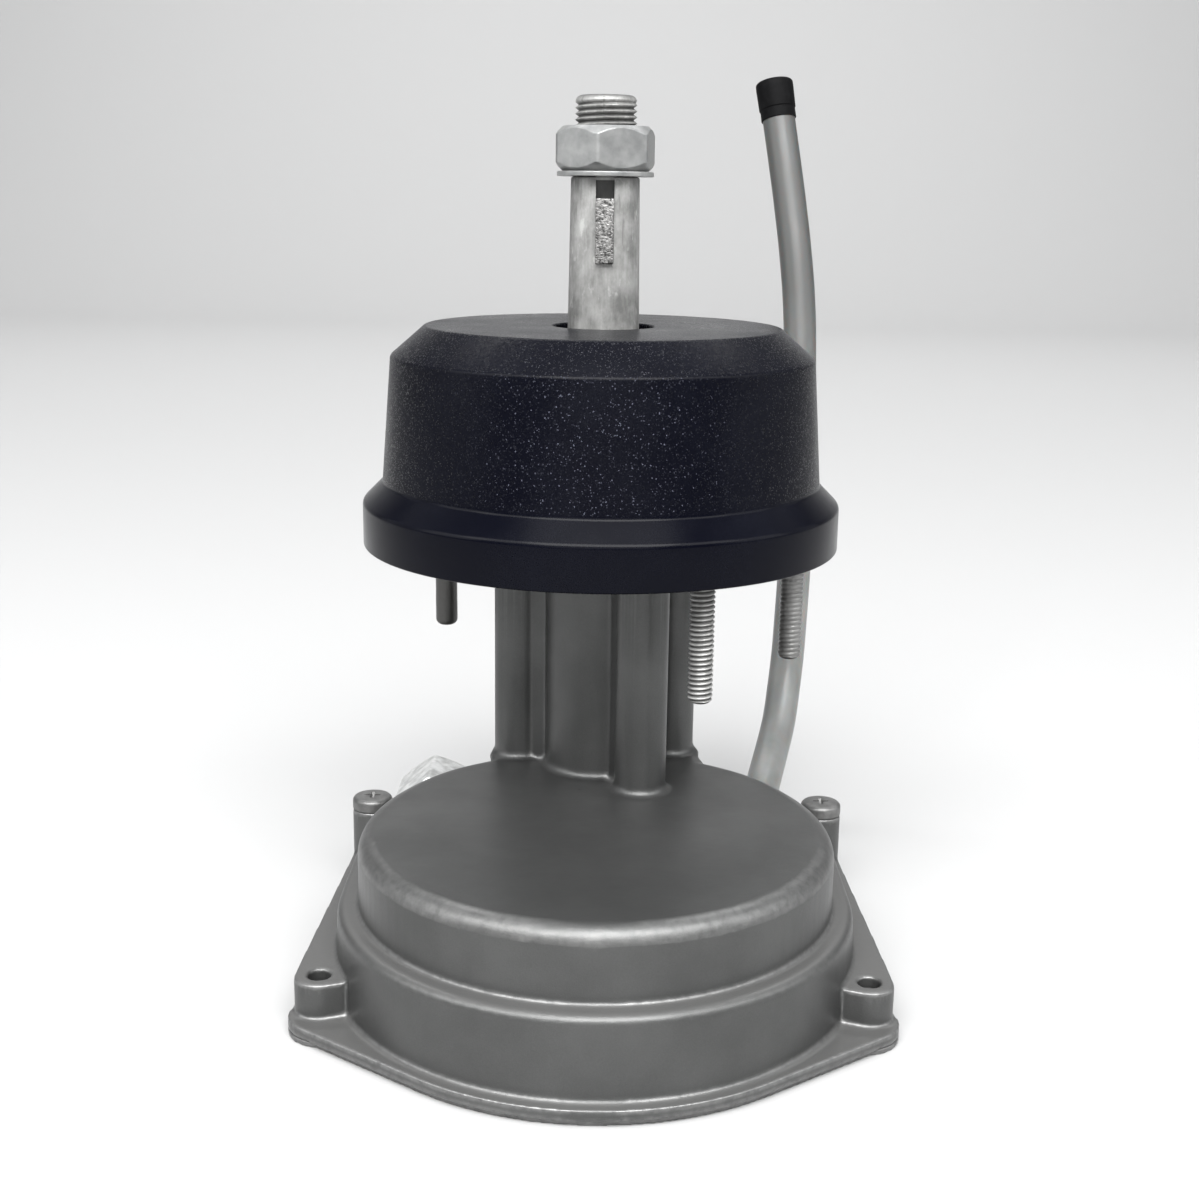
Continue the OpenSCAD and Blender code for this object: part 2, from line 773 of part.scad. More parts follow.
module mounting_plate() {
  color("gray")
    difference() {
      column(plate_r, plate_z, plate_top_z);
      column(neck_r + clear, plate_z - cut, plate_top_z + cut);
      for (a = column_angles)
        translate(around_front(column_ring, a) + [0, 0, plate_top_z])
          flat_screw_hole(plate_screw_d, plate_t + cut, plate_head_r);
      for (a = stud_angles)
        translate(around_front(stud_ring, a))
          column(shank_r + press_fit, plate_z - cut, plate_top_z + cut);
    }
}

module plate_screws() {
  color("lightgray")
    for (a = column_angles)
      translate(around_front(column_ring, a) + [0, 0, plate_top_z])
        flat_screw(plate_screw_d, plate_t + plate_screw_l, plate_head_r);
}

module dash_studs() {
  foot_z = plate_z - stud_l;
  color("darkgray")
    for (a = stud_angles)
      translate(around_front(stud_ring, a))
        rotate_extrude()
          polygon([[0, foot_z], [stud_r - point, foot_z], [stud_r, foot_z + point], [stud_r, plate_z],
            [shank_r, plate_z], [shank_r, plate_top_z], [0, plate_top_z]]);
}

module bezel() {
  rim_foot = [rim_r, plate_z];
  rim_edge = [rim_r, plate_z + rim_h];
  wall_foot = [bezel_foot_r, chamfer_z];
  shoulder = [shoulder_r, shoulder_z];
  top_edge = [shoulder_r - shoulder_w, bezel_top_z];
  hole_edge = [bezel_hole_r, bezel_top_z];
  slope = atan(shoulder_h / shoulder_w);
  outer = concat(
    [rim_foot],
    round_corner(rim_foot, rim_edge, wall_foot, bezel_round),
    round_corner(rim_edge, wall_foot, shoulder, bezel_round),
    round_corner(wall_foot, shoulder, top_edge, bezel_round),
    round_corner(shoulder, top_edge, hole_edge, bezel_round),
    [hole_edge]
  );
  inner = [
    [plate_r + clear, plate_z], [plate_r + clear, plate_top_z],
    [bezel_foot_r - bezel_wall, plate_top_z], [bezel_foot_r - bezel_wall, chamfer_z],
    shoulder - bezel_wall * [1, tan(45 - slope / 2)], top_edge - bezel_wall * [tan(slope / 2), 1],
    [bezel_hole_r, bezel_top_z - bezel_wall]
  ];
  color("black") rotate_extrude() polygon(concat(outer, reversed(inner)));
}

module cable_port_nut() {
  nut_y = port_y - port_nut_grip;
  color("gainsboro")
    difference() {
      translate([-core_r, nut_y, port_z])
        rotate([-90, 0, 0])
          rotate(port_nut_turn)
            hex_nut(port_r + port_nut_wall, port_nut_l);
      bar(port_r + press_fit, -core_r, port_z, nut_y - cut, port_y);
      bar(conduit_d / 2, -core_r, port_z, nut_y, nut_y + port_nut_l + cut);
    }
}

module spent_tube() {
  rings = len(tube_route);
  points = [
    for (i = [0:rings - 1])
      each ring_points(tube_route[i], route_direction(tube_route, i), tube_d / 2, tube_sides)
  ];
  walls = [
    for (i = [0:rings - 2])
      for (j = [0:tube_sides - 1])
        let (k = (j + 1) % tube_sides)
        [i * tube_sides + j, i * tube_sides + k, (i + 1) * tube_sides + k, (i + 1) * tube_sides + j]
  ];
  ends = [
    [for (j = [tube_sides - 1:-1:0]) j],
    [for (j = [0:tube_sides - 1]) (rings - 1) * tube_sides + j]
  ];
  color("darkgray") polyhedron(points, concat(walls, ends));
}

module tube_cap() {
  last = len(tube_route) - 1;
  d = route_direction(tube_route, last);
  inner_r = tube_d / 2 + press_fit;
  outer_r = inner_r + cap_wall;
  skirt_r = inner_r + cap_skirt;
  foot_z = cap_end - cap_l;
  color("black")
    translate(tube_route[last])
      rotate([0, acos(d[2]), atan2(d[1], d[0])])
        rotate_extrude()
          polygon(concat(
            [[0, cap_end]],
            reversed(arc([outer_r - cap_round, cap_end - cap_round], cap_round, 0, 90)),
            [[outer_r, foot_z + cap_skirt_l], [skirt_r, foot_z + cap_skirt_l],
              [skirt_r, foot_z], [inner_r, foot_z], [inner_r, 0], [0, 0]]
          ));
}

main_housing();
back_cover();
front_cover_screws();
rear_cover_screws();
drum_axle();
drum_bush();
drum_thrust_washer();
cable_drum();
drive_pinion();
pinion_ring();
wheel_shaft();
lower_bush();
upper_bush();
shaft_wave_washer();
shaft_retaining_ring();
wheel_key();
wheel_washer();
wheel_nut();
mounting_plate();
plate_screws();
dash_studs();
bezel();
cable_port_nut();
spent_tube();
tube_cap();
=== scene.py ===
# %% [markdown]
# A boat steering helm. The tapered shaft turns a small gear, the gear turns a grooved drum, and
# the drum pushes and pulls the core that moves the rudder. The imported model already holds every
# piece at its true size and place, in metres. Each cell below takes one piece, makes the shape
# that the eye would miss, and gives it a finish.

# %% Load the frame
import math

import bmesh
import bpy
import numpy as np
from mathutils import Matrix, Vector


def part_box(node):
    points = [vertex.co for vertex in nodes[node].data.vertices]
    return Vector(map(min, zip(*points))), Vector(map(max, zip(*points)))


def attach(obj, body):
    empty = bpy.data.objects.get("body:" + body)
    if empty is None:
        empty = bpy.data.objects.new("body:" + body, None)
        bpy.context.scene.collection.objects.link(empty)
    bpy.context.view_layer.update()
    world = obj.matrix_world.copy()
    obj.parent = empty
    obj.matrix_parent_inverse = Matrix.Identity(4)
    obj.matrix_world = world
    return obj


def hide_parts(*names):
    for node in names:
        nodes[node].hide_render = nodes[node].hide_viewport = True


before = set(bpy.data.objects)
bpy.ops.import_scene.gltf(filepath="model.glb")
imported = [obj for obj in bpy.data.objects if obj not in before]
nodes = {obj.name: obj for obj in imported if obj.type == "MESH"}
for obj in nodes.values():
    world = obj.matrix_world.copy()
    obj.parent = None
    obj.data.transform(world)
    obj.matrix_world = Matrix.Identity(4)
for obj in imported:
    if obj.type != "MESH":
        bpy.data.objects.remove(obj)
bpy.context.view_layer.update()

MM = 0.001

# %% [markdown]
# The camera. It stands where the photograph was taken from: 440 mm in front of the shaft, 200 mm
# up, tipped down by almost 14 degrees and rolled by less than one. Those numbers come from
# matching the round edges of the bezel and the drum. A longer lens than the photograph's fills
# the frame with the helm and keeps the perspective.

# %% Camera
CAMERA_PLACE = (0.0, -0.4394, 0.1993)
CAMERA_DIP, CAMERA_ROLL = math.radians(13.87), math.radians(0.8)


def add(name, data):
    """Puts a new object into the scene."""
    made = bpy.data.objects.new(name, data)
    bpy.context.scene.collection.objects.link(made)
    return made


camera_data = bpy.data.cameras.new("photo_camera")
camera_data.sensor_width = 36.0
camera_data.lens = 48.8
camera = add("photo_camera", camera_data)
camera.matrix_world = (
    Matrix.Translation(CAMERA_PLACE)
    @ Matrix.Rotation(math.pi / 2 - CAMERA_DIP, 4, "X")
    @ Matrix.Rotation(CAMERA_ROLL, 4, "Z")
)
bpy.context.scene.camera = camera
print("camera lens", camera_data.lens, "mm")

# %% [markdown]
# The spent tube. The unused end of the core slides up and down in this stiff plastic tube, which
# is screwed into the right port and curves up behind the helm. A curve with a round bevel is the
# natural tool: the points are the model's own route, and smooth handles turn them into one easy
# bend. A mesh tube would need its rings placed by hand and would show flats in the bend. The bevel
# is one unit deep, so each knot's radius is the tube's own.

# %% Spent tube
TUBE_ROUTE = [
    (50, 24, 14), (50, 36, 14), (51.5, 46, 15), (54, 56.5, 18.5), (57, 66.5, 24), (60, 75.5, 31.5),
    (62, 82.5, 41), (63.5, 87.5, 52), (64.5, 91.5, 65), (65.5, 96, 81), (66, 100.5, 98),
    (66.5, 105, 115), (66.5, 109.5, 132), (66.5, 114, 149), (66, 118.5, 166), (64.5, 123, 183),
    (62.5, 127.5, 199), (60.5, 131.5, 213), (58.5, 135, 226), (57, 137.5, 236),
]
TUBE_DIAMETER = 11 * MM

tube_curve = bpy.data.curves.new("spent_tube_line", "CURVE")
tube_curve.dimensions = "3D"
tube_curve.bevel_depth = 1.0
tube_curve.bevel_resolution = 10
tube_curve.resolution_u = 8
tube_curve.use_fill_caps = True
tube_line = tube_curve.splines.new("BEZIER")
tube_line.bezier_points.add(len(TUBE_ROUTE) - 1)
for knot, place in zip(tube_line.bezier_points, TUBE_ROUTE):
    knot.co = Vector(place) * MM
    knot.radius = TUBE_DIAMETER / 2
    knot.handle_left_type = knot.handle_right_type = "AUTO"
tube = add("spent_tube_hose", tube_curve)
bpy.context.view_layer.update()

# %% [markdown]
# Turned pieces. The shaft, the nuts, the studs and the washer come off a lathe, and the bezel and
# the cap are as round, so a few helpers make all these shapes: a ring of points round an axis, and
# a skin of faces from ring to ring. A ring's radius may change with the angle, and that is enough
# for a hexagon or a screw thread too. Blender's Screw modifier could turn a profile as well, but it
# can't cut a hexagon's corners or run a thread out.

# %% Rings and skins
def ring(radius, height, sides):
    """A closed ring of points round the Z axis. radius is one number, or one per point."""
    angle = np.arange(sides) * 2 * np.pi / sides
    radius = np.broadcast_to(radius, sides)
    height = np.broadcast_to(height, sides)
    return np.stack([radius * np.cos(angle), radius * np.sin(angle), height], 1)


def tip(height):
    """The one point where a turned piece meets its own axis."""
    return np.array([[0.0, 0.0, height]])


def skin(rings, closed=False):
    """Points and faces of the surface up the rings; closed joins the last ring to the first."""
    starts = np.cumsum([0] + [len(r) for r in rings])
    faces = []
    for i in range(len(rings) if closed else len(rings) - 1):
        j = (i + 1) % len(rings)
        low, high = starts[i], starts[j]
        sides = max(len(rings[i]), len(rings[j]))
        for k in range(sides):
            n = (k + 1) % sides
            if len(rings[i]) == 1:
                faces.append((low, high + n, high + k))
            elif len(rings[j]) == 1:
                faces.append((low + k, low + n, high))
            else:
                faces.append((low + k, low + n, high + n, high + k))
    return np.concatenate(rings), faces


print("a cone of six sides has", len(skin([ring(1, 0, 6), tip(1)])[1]), "faces")

# %% [markdown]
# Rounded corners. Every turned or moulded edge has a small radius, and that radius is what
# catches the light. A path of corners carries the radius of each corner with it, so the rounding
# is part of the drawing. A bevel modifier would do the same, but with one width for all.

# %% Rounded paths
def rounded(path, steps=6):
    """A path of (radius, height, corner) in mm, with each corner turned to its own rounding."""
    out = []
    for i, (r, z, corner) in enumerate(path):
        here = np.array([r, z], float)
        if corner == 0 or i in (0, len(path) - 1):
            out.append(here)
            continue
        back = np.array(path[i - 1][:2], float) - here
        ahead = np.array(path[i + 1][:2], float) - here
        back /= np.linalg.norm(back)
        ahead /= np.linalg.norm(ahead)
        half = math.acos(np.clip(back @ ahead, -1, 1)) / 2
        middle = (back + ahead) / np.linalg.norm(back + ahead)
        centre = here + middle * corner / math.sin(half)
        for t in np.linspace(0, 1, steps + 1):
            spoke = here + (back * (1 - t) + ahead * t) * corner / math.tan(half) - centre
            out.append(centre + spoke / np.linalg.norm(spoke) * corner)
    return out


def stacked(path, sides):
    """Rings in metres up a path of (radius, height) in mm; a radius of 0 is a tip on the axis."""
    return [tip(z * MM) if r < 1e-6 else ring(r * MM, z * MM, sides) for r, z in path]


def turned(path, sides, closed=False):
    """A lathe piece from a path of corners in mm."""
    return skin(stacked(rounded(path), sides), closed)


print("a corner of 1 mm gets", len(rounded([(0, 0, 0), (5, 0, 1), (5, 5, 0)])) - 2, "points")

# %% [markdown]
# From points to a piece. Each new piece rides on a body of the model and stands for the model's own
# solid, which is hidden. Faces that meet at a steep angle keep a sharp edge, and the rest is shaded
# smooth.

# %% Pieces
def piece(name, shape, body, replaced, sharp=40):
    """Makes a mesh piece that rides on a body and stands for its CAD node."""
    points, faces = shape
    mesh = bpy.data.meshes.new(name)
    mesh.from_pydata([tuple(p) for p in points], [], faces)
    mesh.validate()
    mesh.shade_smooth()
    mesh.set_sharp_from_angle(angle=math.radians(sharp))
    made = add(name, mesh)
    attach(made, body)
    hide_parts(replaced)
    print(name, len(mesh.polygons), "faces")
    return made


def joined(shapes):
    """Several shapes of points and faces as one."""
    starts = np.cumsum([0] + [len(points) for points, _ in shapes])
    faces = [
        tuple(i + start for i in face) for start, shape in zip(starts, shapes) for face in shape[1]
    ]
    return np.concatenate([points for points, _ in shapes]), faces


# %% [markdown]
# The tube's cap is a soft black rubber cup, pushed over the end: a thick head with a thin skirt
# below it. It is turned about Z at the origin, then tipped to the direction in which the tube ends.

# %% Tube cap
CAP_PATH = [
    (5.52, -10.5, 0), (5.92, -10.5, 0.15), (5.86, -7.1, 0.1), (6.15, -6.9, 0.2), (6.32, 0.2, 2.0),
    (6.25, 2.5, 1.1), (0, 2.5, 0), (0, 0.1, 0), (5.52, 0.1, 0.3), (5.52, -10.4, 0),
]
CAP_SIDES = 64

cap_points, cap_faces = turned(CAP_PATH, CAP_SIDES, closed=True)
end_direction = Vector(TUBE_ROUTE[-1]) - Vector(TUBE_ROUTE[-2])
cap_turn = end_direction.to_track_quat("Z", "Y").to_matrix().to_4x4()
cap_place = Matrix.Translation(Vector(TUBE_ROUTE[-1]) * MM) @ cap_turn
cap_points = [cap_place @ Vector(p) for p in cap_points]
cap = piece("tube_cap_rubber", (cap_points, cap_faces), "helm_body", "tube_cap")
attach(tube, "helm_body")
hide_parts("spent_tube")

# %% [markdown]
# The stage. The helm stands on a pale floor that curves up behind it, the way product
# photographs are made: with no line between floor and wall, nothing draws the eye off the part.
# One swept strip is enough.

# %% Floor and backdrop
FLOOR_FRONT, CURVE_START, CURVE_RADIUS, WALL_TOP = -4.0, 2.2, 0.9, 3.2
HALF_WIDTH = 4.5


def finish(name, colour, roughness, metallic=0.0):
    """A material with one Principled shader whose plain values are set on the shader itself."""
    made = bpy.data.materials.new(name)
    made.use_nodes = True
    shader = made.node_tree.nodes["Principled BSDF"]
    shader.inputs["Base Color"].default_value = (*colour, 1)
    shader.inputs["Roughness"].default_value = roughness
    shader.inputs["Metallic"].default_value = metallic
    return made


floor_curve = [
    (CURVE_START + CURVE_RADIUS * math.sin(a), CURVE_RADIUS - CURVE_RADIUS * math.cos(a))
    for a in np.linspace(0, math.pi / 2, 17)
]
sweep = [(FLOOR_FRONT, 0.0)] + floor_curve + [(CURVE_START + CURVE_RADIUS, WALL_TOP)]
stage_mesh = bpy.data.meshes.new("floor")
stage_mesh.from_pydata(
    [(x, y, z) for y, z in sweep for x in (-HALF_WIDTH, HALF_WIDTH)], [],
    [(2 * i, 2 * i + 1, 2 * i + 3, 2 * i + 2) for i in range(len(sweep) - 1)],
)
stage_mesh.shade_smooth()
floor = add("floor", stage_mesh)
stage_mesh.materials.append(finish("pale_floor", (0.4, 0.4, 0.4), 0.7))
print("floor from y", sweep[0][0], "to", sweep[-1][0], "m")

# %% [markdown]
# The light. A broad strip lamp above and in front draws the bright lines along the round edges
# of the casting, and a weaker one on each side carries them on round the drum. The bezel shades
# the neck from these, so a low soft box lights the neck from the front. A box on the left models
# the columns, and a weaker one on the right opens the shadows. Both hang clear of the floor, so
# their light ends softly on it.

# %% Lights
AIM_LOW, AIM_HIGH = (0, 0, 0.08), (0, 0, 0.1)
LAMPS = [
    ("front_strip", (0.0, -0.95, 1.22), AIM_LOW, 1.5, 0.85, 50),
    ("left_strip", (-1.1, -0.75, 1.22), AIM_LOW, 0.9, 0.8, 9),
    ("right_strip", (1.1, -0.75, 1.22), AIM_LOW, 0.9, 0.8, 9),
    ("front_fill", (0.0, -1.9, 0.65), AIM_LOW, 1.8, 0.7, 7),
    ("overhead_box", (0.0, -0.3, 1.55), AIM_HIGH, 1.2, 0.5, 4),
    ("left_box", (-1.25, -0.35, 0.68), AIM_HIGH, 0.8, 0.8, 4.5),
    ("right_box", (1.3, -0.25, 0.68), AIM_HIGH, 0.8, 0.8, 3.5),
    ("backdrop_box", (0.0, 1.3, 2.4), (0, 2.8, 0.6), 3.0, 0.8, 86),
]
for name, place, aim, wide, high, watts in LAMPS:
    lamp = bpy.data.lights.new(name, "AREA")
    lamp.shape = "RECTANGLE"
    lamp.size = wide
    lamp.size_y = high
    lamp.energy = watts
    holder = add(name, lamp)
    holder.location = place
    holder.rotation_euler = (Vector(aim) - Vector(place)).to_track_quat("-Z", "Y").to_euler()
print("lights", [lamp[0] for lamp in LAMPS])

# %% [markdown]
# The room. What a lamp doesn't light, the room does: a pale glow that is brighter behind the helm
# and dim in front, because the dark metal mirrors what is behind the camera.

# %% Room
BEHIND_CAMERA, BEHIND_HELM = (-1.0, 0.1), (0.3, 0.55)

world = bpy.data.worlds.new("soft_room")
bpy.context.scene.world = world
world.use_nodes = True
sky = world.node_tree
towards = sky.nodes.new("ShaderNodeSeparateXYZ")
sky.links.new(sky.nodes.new("ShaderNodeTexCoord").outputs["Generated"], towards.inputs[0])
dim = sky.nodes.new("ShaderNodeMapRange")
dim.inputs["From Min"].default_value, dim.inputs["To Min"].default_value = BEHIND_CAMERA
dim.inputs["From Max"].default_value, dim.inputs["To Max"].default_value = BEHIND_HELM
sky.links.new(towards.outputs["Y"], dim.inputs["Value"])
sky.links.new(dim.outputs["Result"], sky.nodes["Background"].inputs["Strength"])
sky.nodes["Background"].inputs["Color"].default_value = (0.96, 0.98, 1.0, 1)
bpy.context.scene.view_settings.view_transform = "Standard"
print("room light from", BEHIND_CAMERA[1], "to", BEHIND_HELM[1])

# %% [markdown]
# Finishes from nodes. On a real part no surface is one flat colour, so each finish is a small net
# of nodes. In Blender's shader editor a wire is drawn from one node to the next. Here a helper adds
# a node, and each of its sockets takes a plain value or the output of another node.

# %% Nodes
def feed(made, socket, value):
    """Gives a socket a plain value, or joins the output of another node to it."""
    if isinstance(value, bpy.types.NodeSocket):
        made.node_tree.links.new(value, socket)
    else:
        socket.default_value = value


def node(made, kind, settings=None, **sockets):
    """Adds a shader node with its settings and its sockets."""
    new = made.node_tree.nodes.new("ShaderNode" + kind)
    for key, value in (settings or {}).items():
        setattr(new, key, value)
    for key, value in sockets.items():
        feed(made, new.inputs[key.replace("_", " ")], value)
    return new


print("the floor's finish has", len(stage_mesh.materials[0].node_tree.nodes), "nodes")

# %% [markdown]
# Fields. A field is a value at each point of a surface. These helpers take the place of a point on
# the piece, and make a cloudy noise from it. Sizes are written in millimetres, so a 0.5 mm grain
# reads as one. The place comes from the object and not from an unwrapped map, because the pieces
# have none and a solid pattern shows no seam.

# %% Fields
def place_of(made, stretch=(1, 1, 1)):
    """The point on the piece in metres; a stretch makes a pattern longer along that axis."""
    at = node(made, "TexCoord").outputs["Object"]
    if tuple(stretch) == (1, 1, 1):
        return at
    return node(made, "Mapping", Vector=at, Scale=tuple(1 / s for s in stretch)).outputs["Vector"]


def parts_of(made, direction):
    """The X, Y and Z of a place or a direction."""
    return node(made, "SeparateXYZ", Vector=direction).outputs


def cloud(made, size, detail=3.0, stretch=(1, 1, 1), rough=0.55):
    """A noise field from 0 to 1 with patches of about that size in mm."""
    return node(
        made, "TexNoise", Vector=place_of(made, stretch), Scale=1 / (size * MM), Detail=detail,
        Roughness=rough,
    ).outputs["Fac"]


def remap(made, value, low, high, to_low=0.0, to_high=1.0):
    """Maps low..high to to_low..to_high, and holds it there."""
    return node(
        made, "MapRange", From_Min=low, From_Max=high, To_Min=to_low, To_Max=to_high, Value=value
    ).outputs["Result"]


print("a field of 0.5 mm has a noise scale of", 1 / (0.5 * MM), "per metre")

# %% [markdown]
# Mixing fields. Stains, grain and wear lie on top of each other on real metal. The next helpers
# put them together: arithmetic on two fields or two directions, and a colour between two.

# %% Mixing
def sums(made, kind, *values, tool="Math"):
    """Arithmetic on two values, or with the tool VectorMath on two directions."""
    new = node(made, tool, {"operation": kind})
    for socket, value in zip(new.inputs, values):
        feed(made, socket, value)
    return new.outputs[0]


def arrows(made, kind, *values):
    """Arithmetic on directions."""
    return sums(made, kind, *values, tool="VectorMath")


def times(made, first, second):
    """Two fields multiplied."""
    return sums(made, "MULTIPLY", first, second)


def blend(made, amount, first, second):
    """A colour between two, by an amount from 0 to 1."""
    new = node(made, "Mix", {"data_type": "RGBA"})
    for index, value in ((0, amount), (6, first), (7, second)):
        feed(made, new.inputs[index], (*value, 1) if isinstance(value, tuple) else value)
    return new.outputs[2]


print("fields mix by sums, arrows, times and blend")

# %% [markdown]
# Joining a finish to a piece. Grain too fine for a mesh is a bump, which tilts the light and leaves
# the outline as it is. The finished fields then go to the shader's own sockets, and the finish
# takes the place of the model's plain one.

# %% Joining
def bump(made, height, depth, strength=1.0, under=None):
    """A bump of that depth in mm, on top of an earlier one."""
    new = node(made, "Bump", Height=height, Distance=depth * MM, Strength=strength)
    if under is not None:
        feed(made, new.inputs["Normal"], under)
    return new.outputs["Normal"]


def plug(made, **fields):
    """Joins finished fields to the shader."""
    shader = made.node_tree.nodes["Principled BSDF"]
    for key, field in fields.items():
        feed(made, shader.inputs[key.replace("_", " ")], field)
    return made


def dress(target, made):
    """Gives a piece its finish."""
    if target.material_slots:
        target.material_slots[0].material = made
    else:
        target.data.materials.append(made)
    print(made.name, "on", target.name)


print("pieces to dress:", len(nodes))

# %% [markdown]
# The plain metals. Plated screws, ground steel, bronze and the machined drum differ in colour,
# gloss and the size of their marks, so one recipe serves them all: broad blotches in the colour,
# finer ones in the gloss, and turning or grinding marks as a shallow bump.

# %% Metal recipe
def metal(name, dark, light, gloss, blotch, grain, depth=0.01, stretch=(1, 1, 1), metallic=1.0):
    """A metal of two colours; gloss is (smoothest, roughest), blotch and grain are sizes in mm."""
    made = finish(name, light, gloss[0], metallic)
    patches = cloud(made, blotch, 4.0)
    marks = cloud(made, grain, 2.0, stretch)
    colour = blend(made, remap(made, patches, 0.35, 0.65), dark, light)
    shine = remap(made, sums(made, "ADD", patches, marks), 0.7, 1.3, gloss[0], gloss[1])
    return plug(made, Base_Color=colour, Roughness=shine, Normal=bump(made, marks, depth))


screw_steel = metal(
    "screw_steel", (0.38, 0.38, 0.37), (0.62, 0.62, 0.61), (0.25, 0.45), 3, 0.4)
print("metal recipe has", len(screw_steel.node_tree.nodes), "nodes")

# %% [markdown]
# The other plain metals follow the same recipe. Most of the pieces that wear them are inside the
# closed casing or half hidden, and their model shape is right as it is, so the finish is all that
# they need. Ground steel has its marks stretched along Z.

# %% Plain pieces
bright_zinc = metal(
    "bright_zinc", (0.2, 0.204, 0.204), (0.29, 0.294, 0.29), (0.34, 0.46), 5, 0.6, 0.008,
    metallic=0.6)
ground_steel = metal(
    "ground_steel", (0.45, 0.45, 0.46), (0.62, 0.62, 0.63), (0.22, 0.4), 5, 0.3, 0.006, (1, 1, 6))
# The front cover screws sit deep in the ear holes; their dark steel is painted shade for the holes.
hole_shaded_steel = metal(
    "hole_shaded_steel", (0.05, 0.05, 0.05), (0.14, 0.14, 0.138), (0.3, 0.5), 3, 0.4)
spring_steel = metal(
    "spring_steel", (0.1, 0.1, 0.11), (0.2, 0.2, 0.21), (0.35, 0.5), 4, 0.4)
bronze = metal(
    "bronze", (0.42, 0.26, 0.11), (0.62, 0.42, 0.2), (0.35, 0.55), 3, 0.35, 0.015)
drum_alloy = metal(
    "drum_alloy", (0.4, 0.41, 0.42), (0.58, 0.59, 0.6), (0.3, 0.5), 12, 0.5)
plate_steel = metal(
    "plate_steel", (0.36, 0.37, 0.38), (0.55, 0.56, 0.57), (0.3, 0.5), 14, 0.6)
PLAIN = {
    "front_cover_screws": hole_shaded_steel, "plate_screws": screw_steel, "drum_axle": ground_steel,
    "drum_thrust_washer": ground_steel, "drive_pinion": ground_steel, "drum_bush": bronze,
    "lower_bush": bronze, "upper_bush": bronze, "cable_drum": drum_alloy,
    "pinion_ring": spring_steel, "shaft_wave_washer": spring_steel,
    "shaft_retaining_ring": spring_steel, "mounting_plate": plate_steel,
}
for name, made in PLAIN.items():
    dress(nodes[name], made)

# %% [markdown]
# The gear housing is one grey die casting: round drum, ledge, flange with its ears, and the tall
# neck with three screw columns. A casting has no sharp edge anywhere. A bevel needs clean loops
# of faces, which a CAD mesh doesn't have, so the shape is rebuilt from small cubes (a voxel
# remesh), smoothed until every edge has a small radius, and thinned again.

# %% Casting shape
HOUSING_CUBES = ((0.55, 5, 0.13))


def casting(name, source, voxel, passes, keep, body, slot):
    """A CAD node with the soft edges of a casting: cubes in mm, smoothing, share of faces kept."""
    mesh = bpy.data.meshes.new(name)
    work = bmesh.new()
    work.from_mesh(nodes[source].data)
    bmesh.ops.remove_doubles(work, verts=work.verts, dist=1e-6)
    faces = [[v.index for v in f.verts] for f in work.faces]
    mesh.from_pydata([v.co[:] for v in work.verts], [], faces)
    work.free()
    made = add(name, mesh)
    remesh = made.modifiers.new("small_cubes", "REMESH")
    remesh.mode = "VOXEL"
    remesh.voxel_size = voxel * MM
    smooth = made.modifiers.new("soft_edges", "SMOOTH")
    smooth.factor = 0.5
    smooth.iterations = passes
    thin = made.modifiers.new("fewer_faces", "DECIMATE")
    thin.ratio = keep
    ready = made.evaluated_get(bpy.context.evaluated_depsgraph_get())
    made.modifiers.clear()
    made.data = bpy.data.meshes.new_from_object(ready)
    made.data.name = name
    made.data.shade_smooth()
    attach(made, body)
    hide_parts(source)
    print(name, len(made.data.polygons), "faces")
    return made


housing = casting("housing_casting", "main_housing", *HOUSING_CUBES, "helm_body", "cast_alloy")

# %% [markdown]
# The edge of the drum's roof is rounder than the smoothing leaves it. Each point near the edge is
# pulled onto a round corner of 5 mm, measured outwards from the drum's axis and down from the
# roof. Towards the neck the pull fades out, because there the roof runs on into the columns.

# %% Roof edge
DRUM_AXIS, ROOF_RADIUS, ROOF_TOP, ROOF_CORNER = (0, -49.5), 60.5, 43.42, 5.0
FULL_PULL_Y, NO_PULL_Y = -22.0, -8.0


def round_roof(target):
    """Turns the edge of the round roof to its corner; all numbers are in mm."""
    mesh = target.data
    place = np.empty(len(mesh.vertices) * 3)
    mesh.vertices.foreach_get("co", place)
    place = place.reshape(-1, 3) / MM
    spoke = place[:, :2] - np.array(DRUM_AXIS)
    reach = np.maximum(np.linalg.norm(spoke, axis=1), 1e-6)
    out = reach - (ROOF_RADIUS - ROOF_CORNER)
    up = place[:, 2] - (ROOF_TOP - ROOF_CORNER)
    far = np.hypot(out, up)
    share = np.clip((NO_PULL_Y - place[:, 1]) / (NO_PULL_Y - FULL_PULL_Y), 0, 1)
    moved = (out > 0) & (up > 0) & (far > ROOF_CORNER) & (far < ROOF_CORNER * 1.5)
    moved &= reach < ROOF_RADIUS + 0.4
    pull = np.where(moved, share * (ROOF_CORNER / np.maximum(far, 1e-6) - 1), 0)
    place[:, :2] += spoke / reach[:, None] * (out * pull)[:, None]
    place[:, 2] += up * pull
    mesh.vertices.foreach_set("co", (place * MM).ravel())
    mesh.update()
    most = round(float((far * -pull).max()), 2)
    print("roof edge turned at", int(moved.sum()), "points, by up to", most, "mm")


round_roof(housing)

# %% [markdown]
# Polished edges and painted highlights. Tumbling and handling leave the tight convex edges of a
# casting a little smoother and paler than its faces, and the finish also paints highlights onto
# those edges and into the hollow corners. How much the surface bends at each point finds them: the
# change of the normal along each edge of the mesh, averaged over the neighbours. The finish reads
# it as an attribute.

# %% Edge map
TIGHTEST = 400  # a bend of 1 / 2.5 mm, in 1 / m, counts as 1


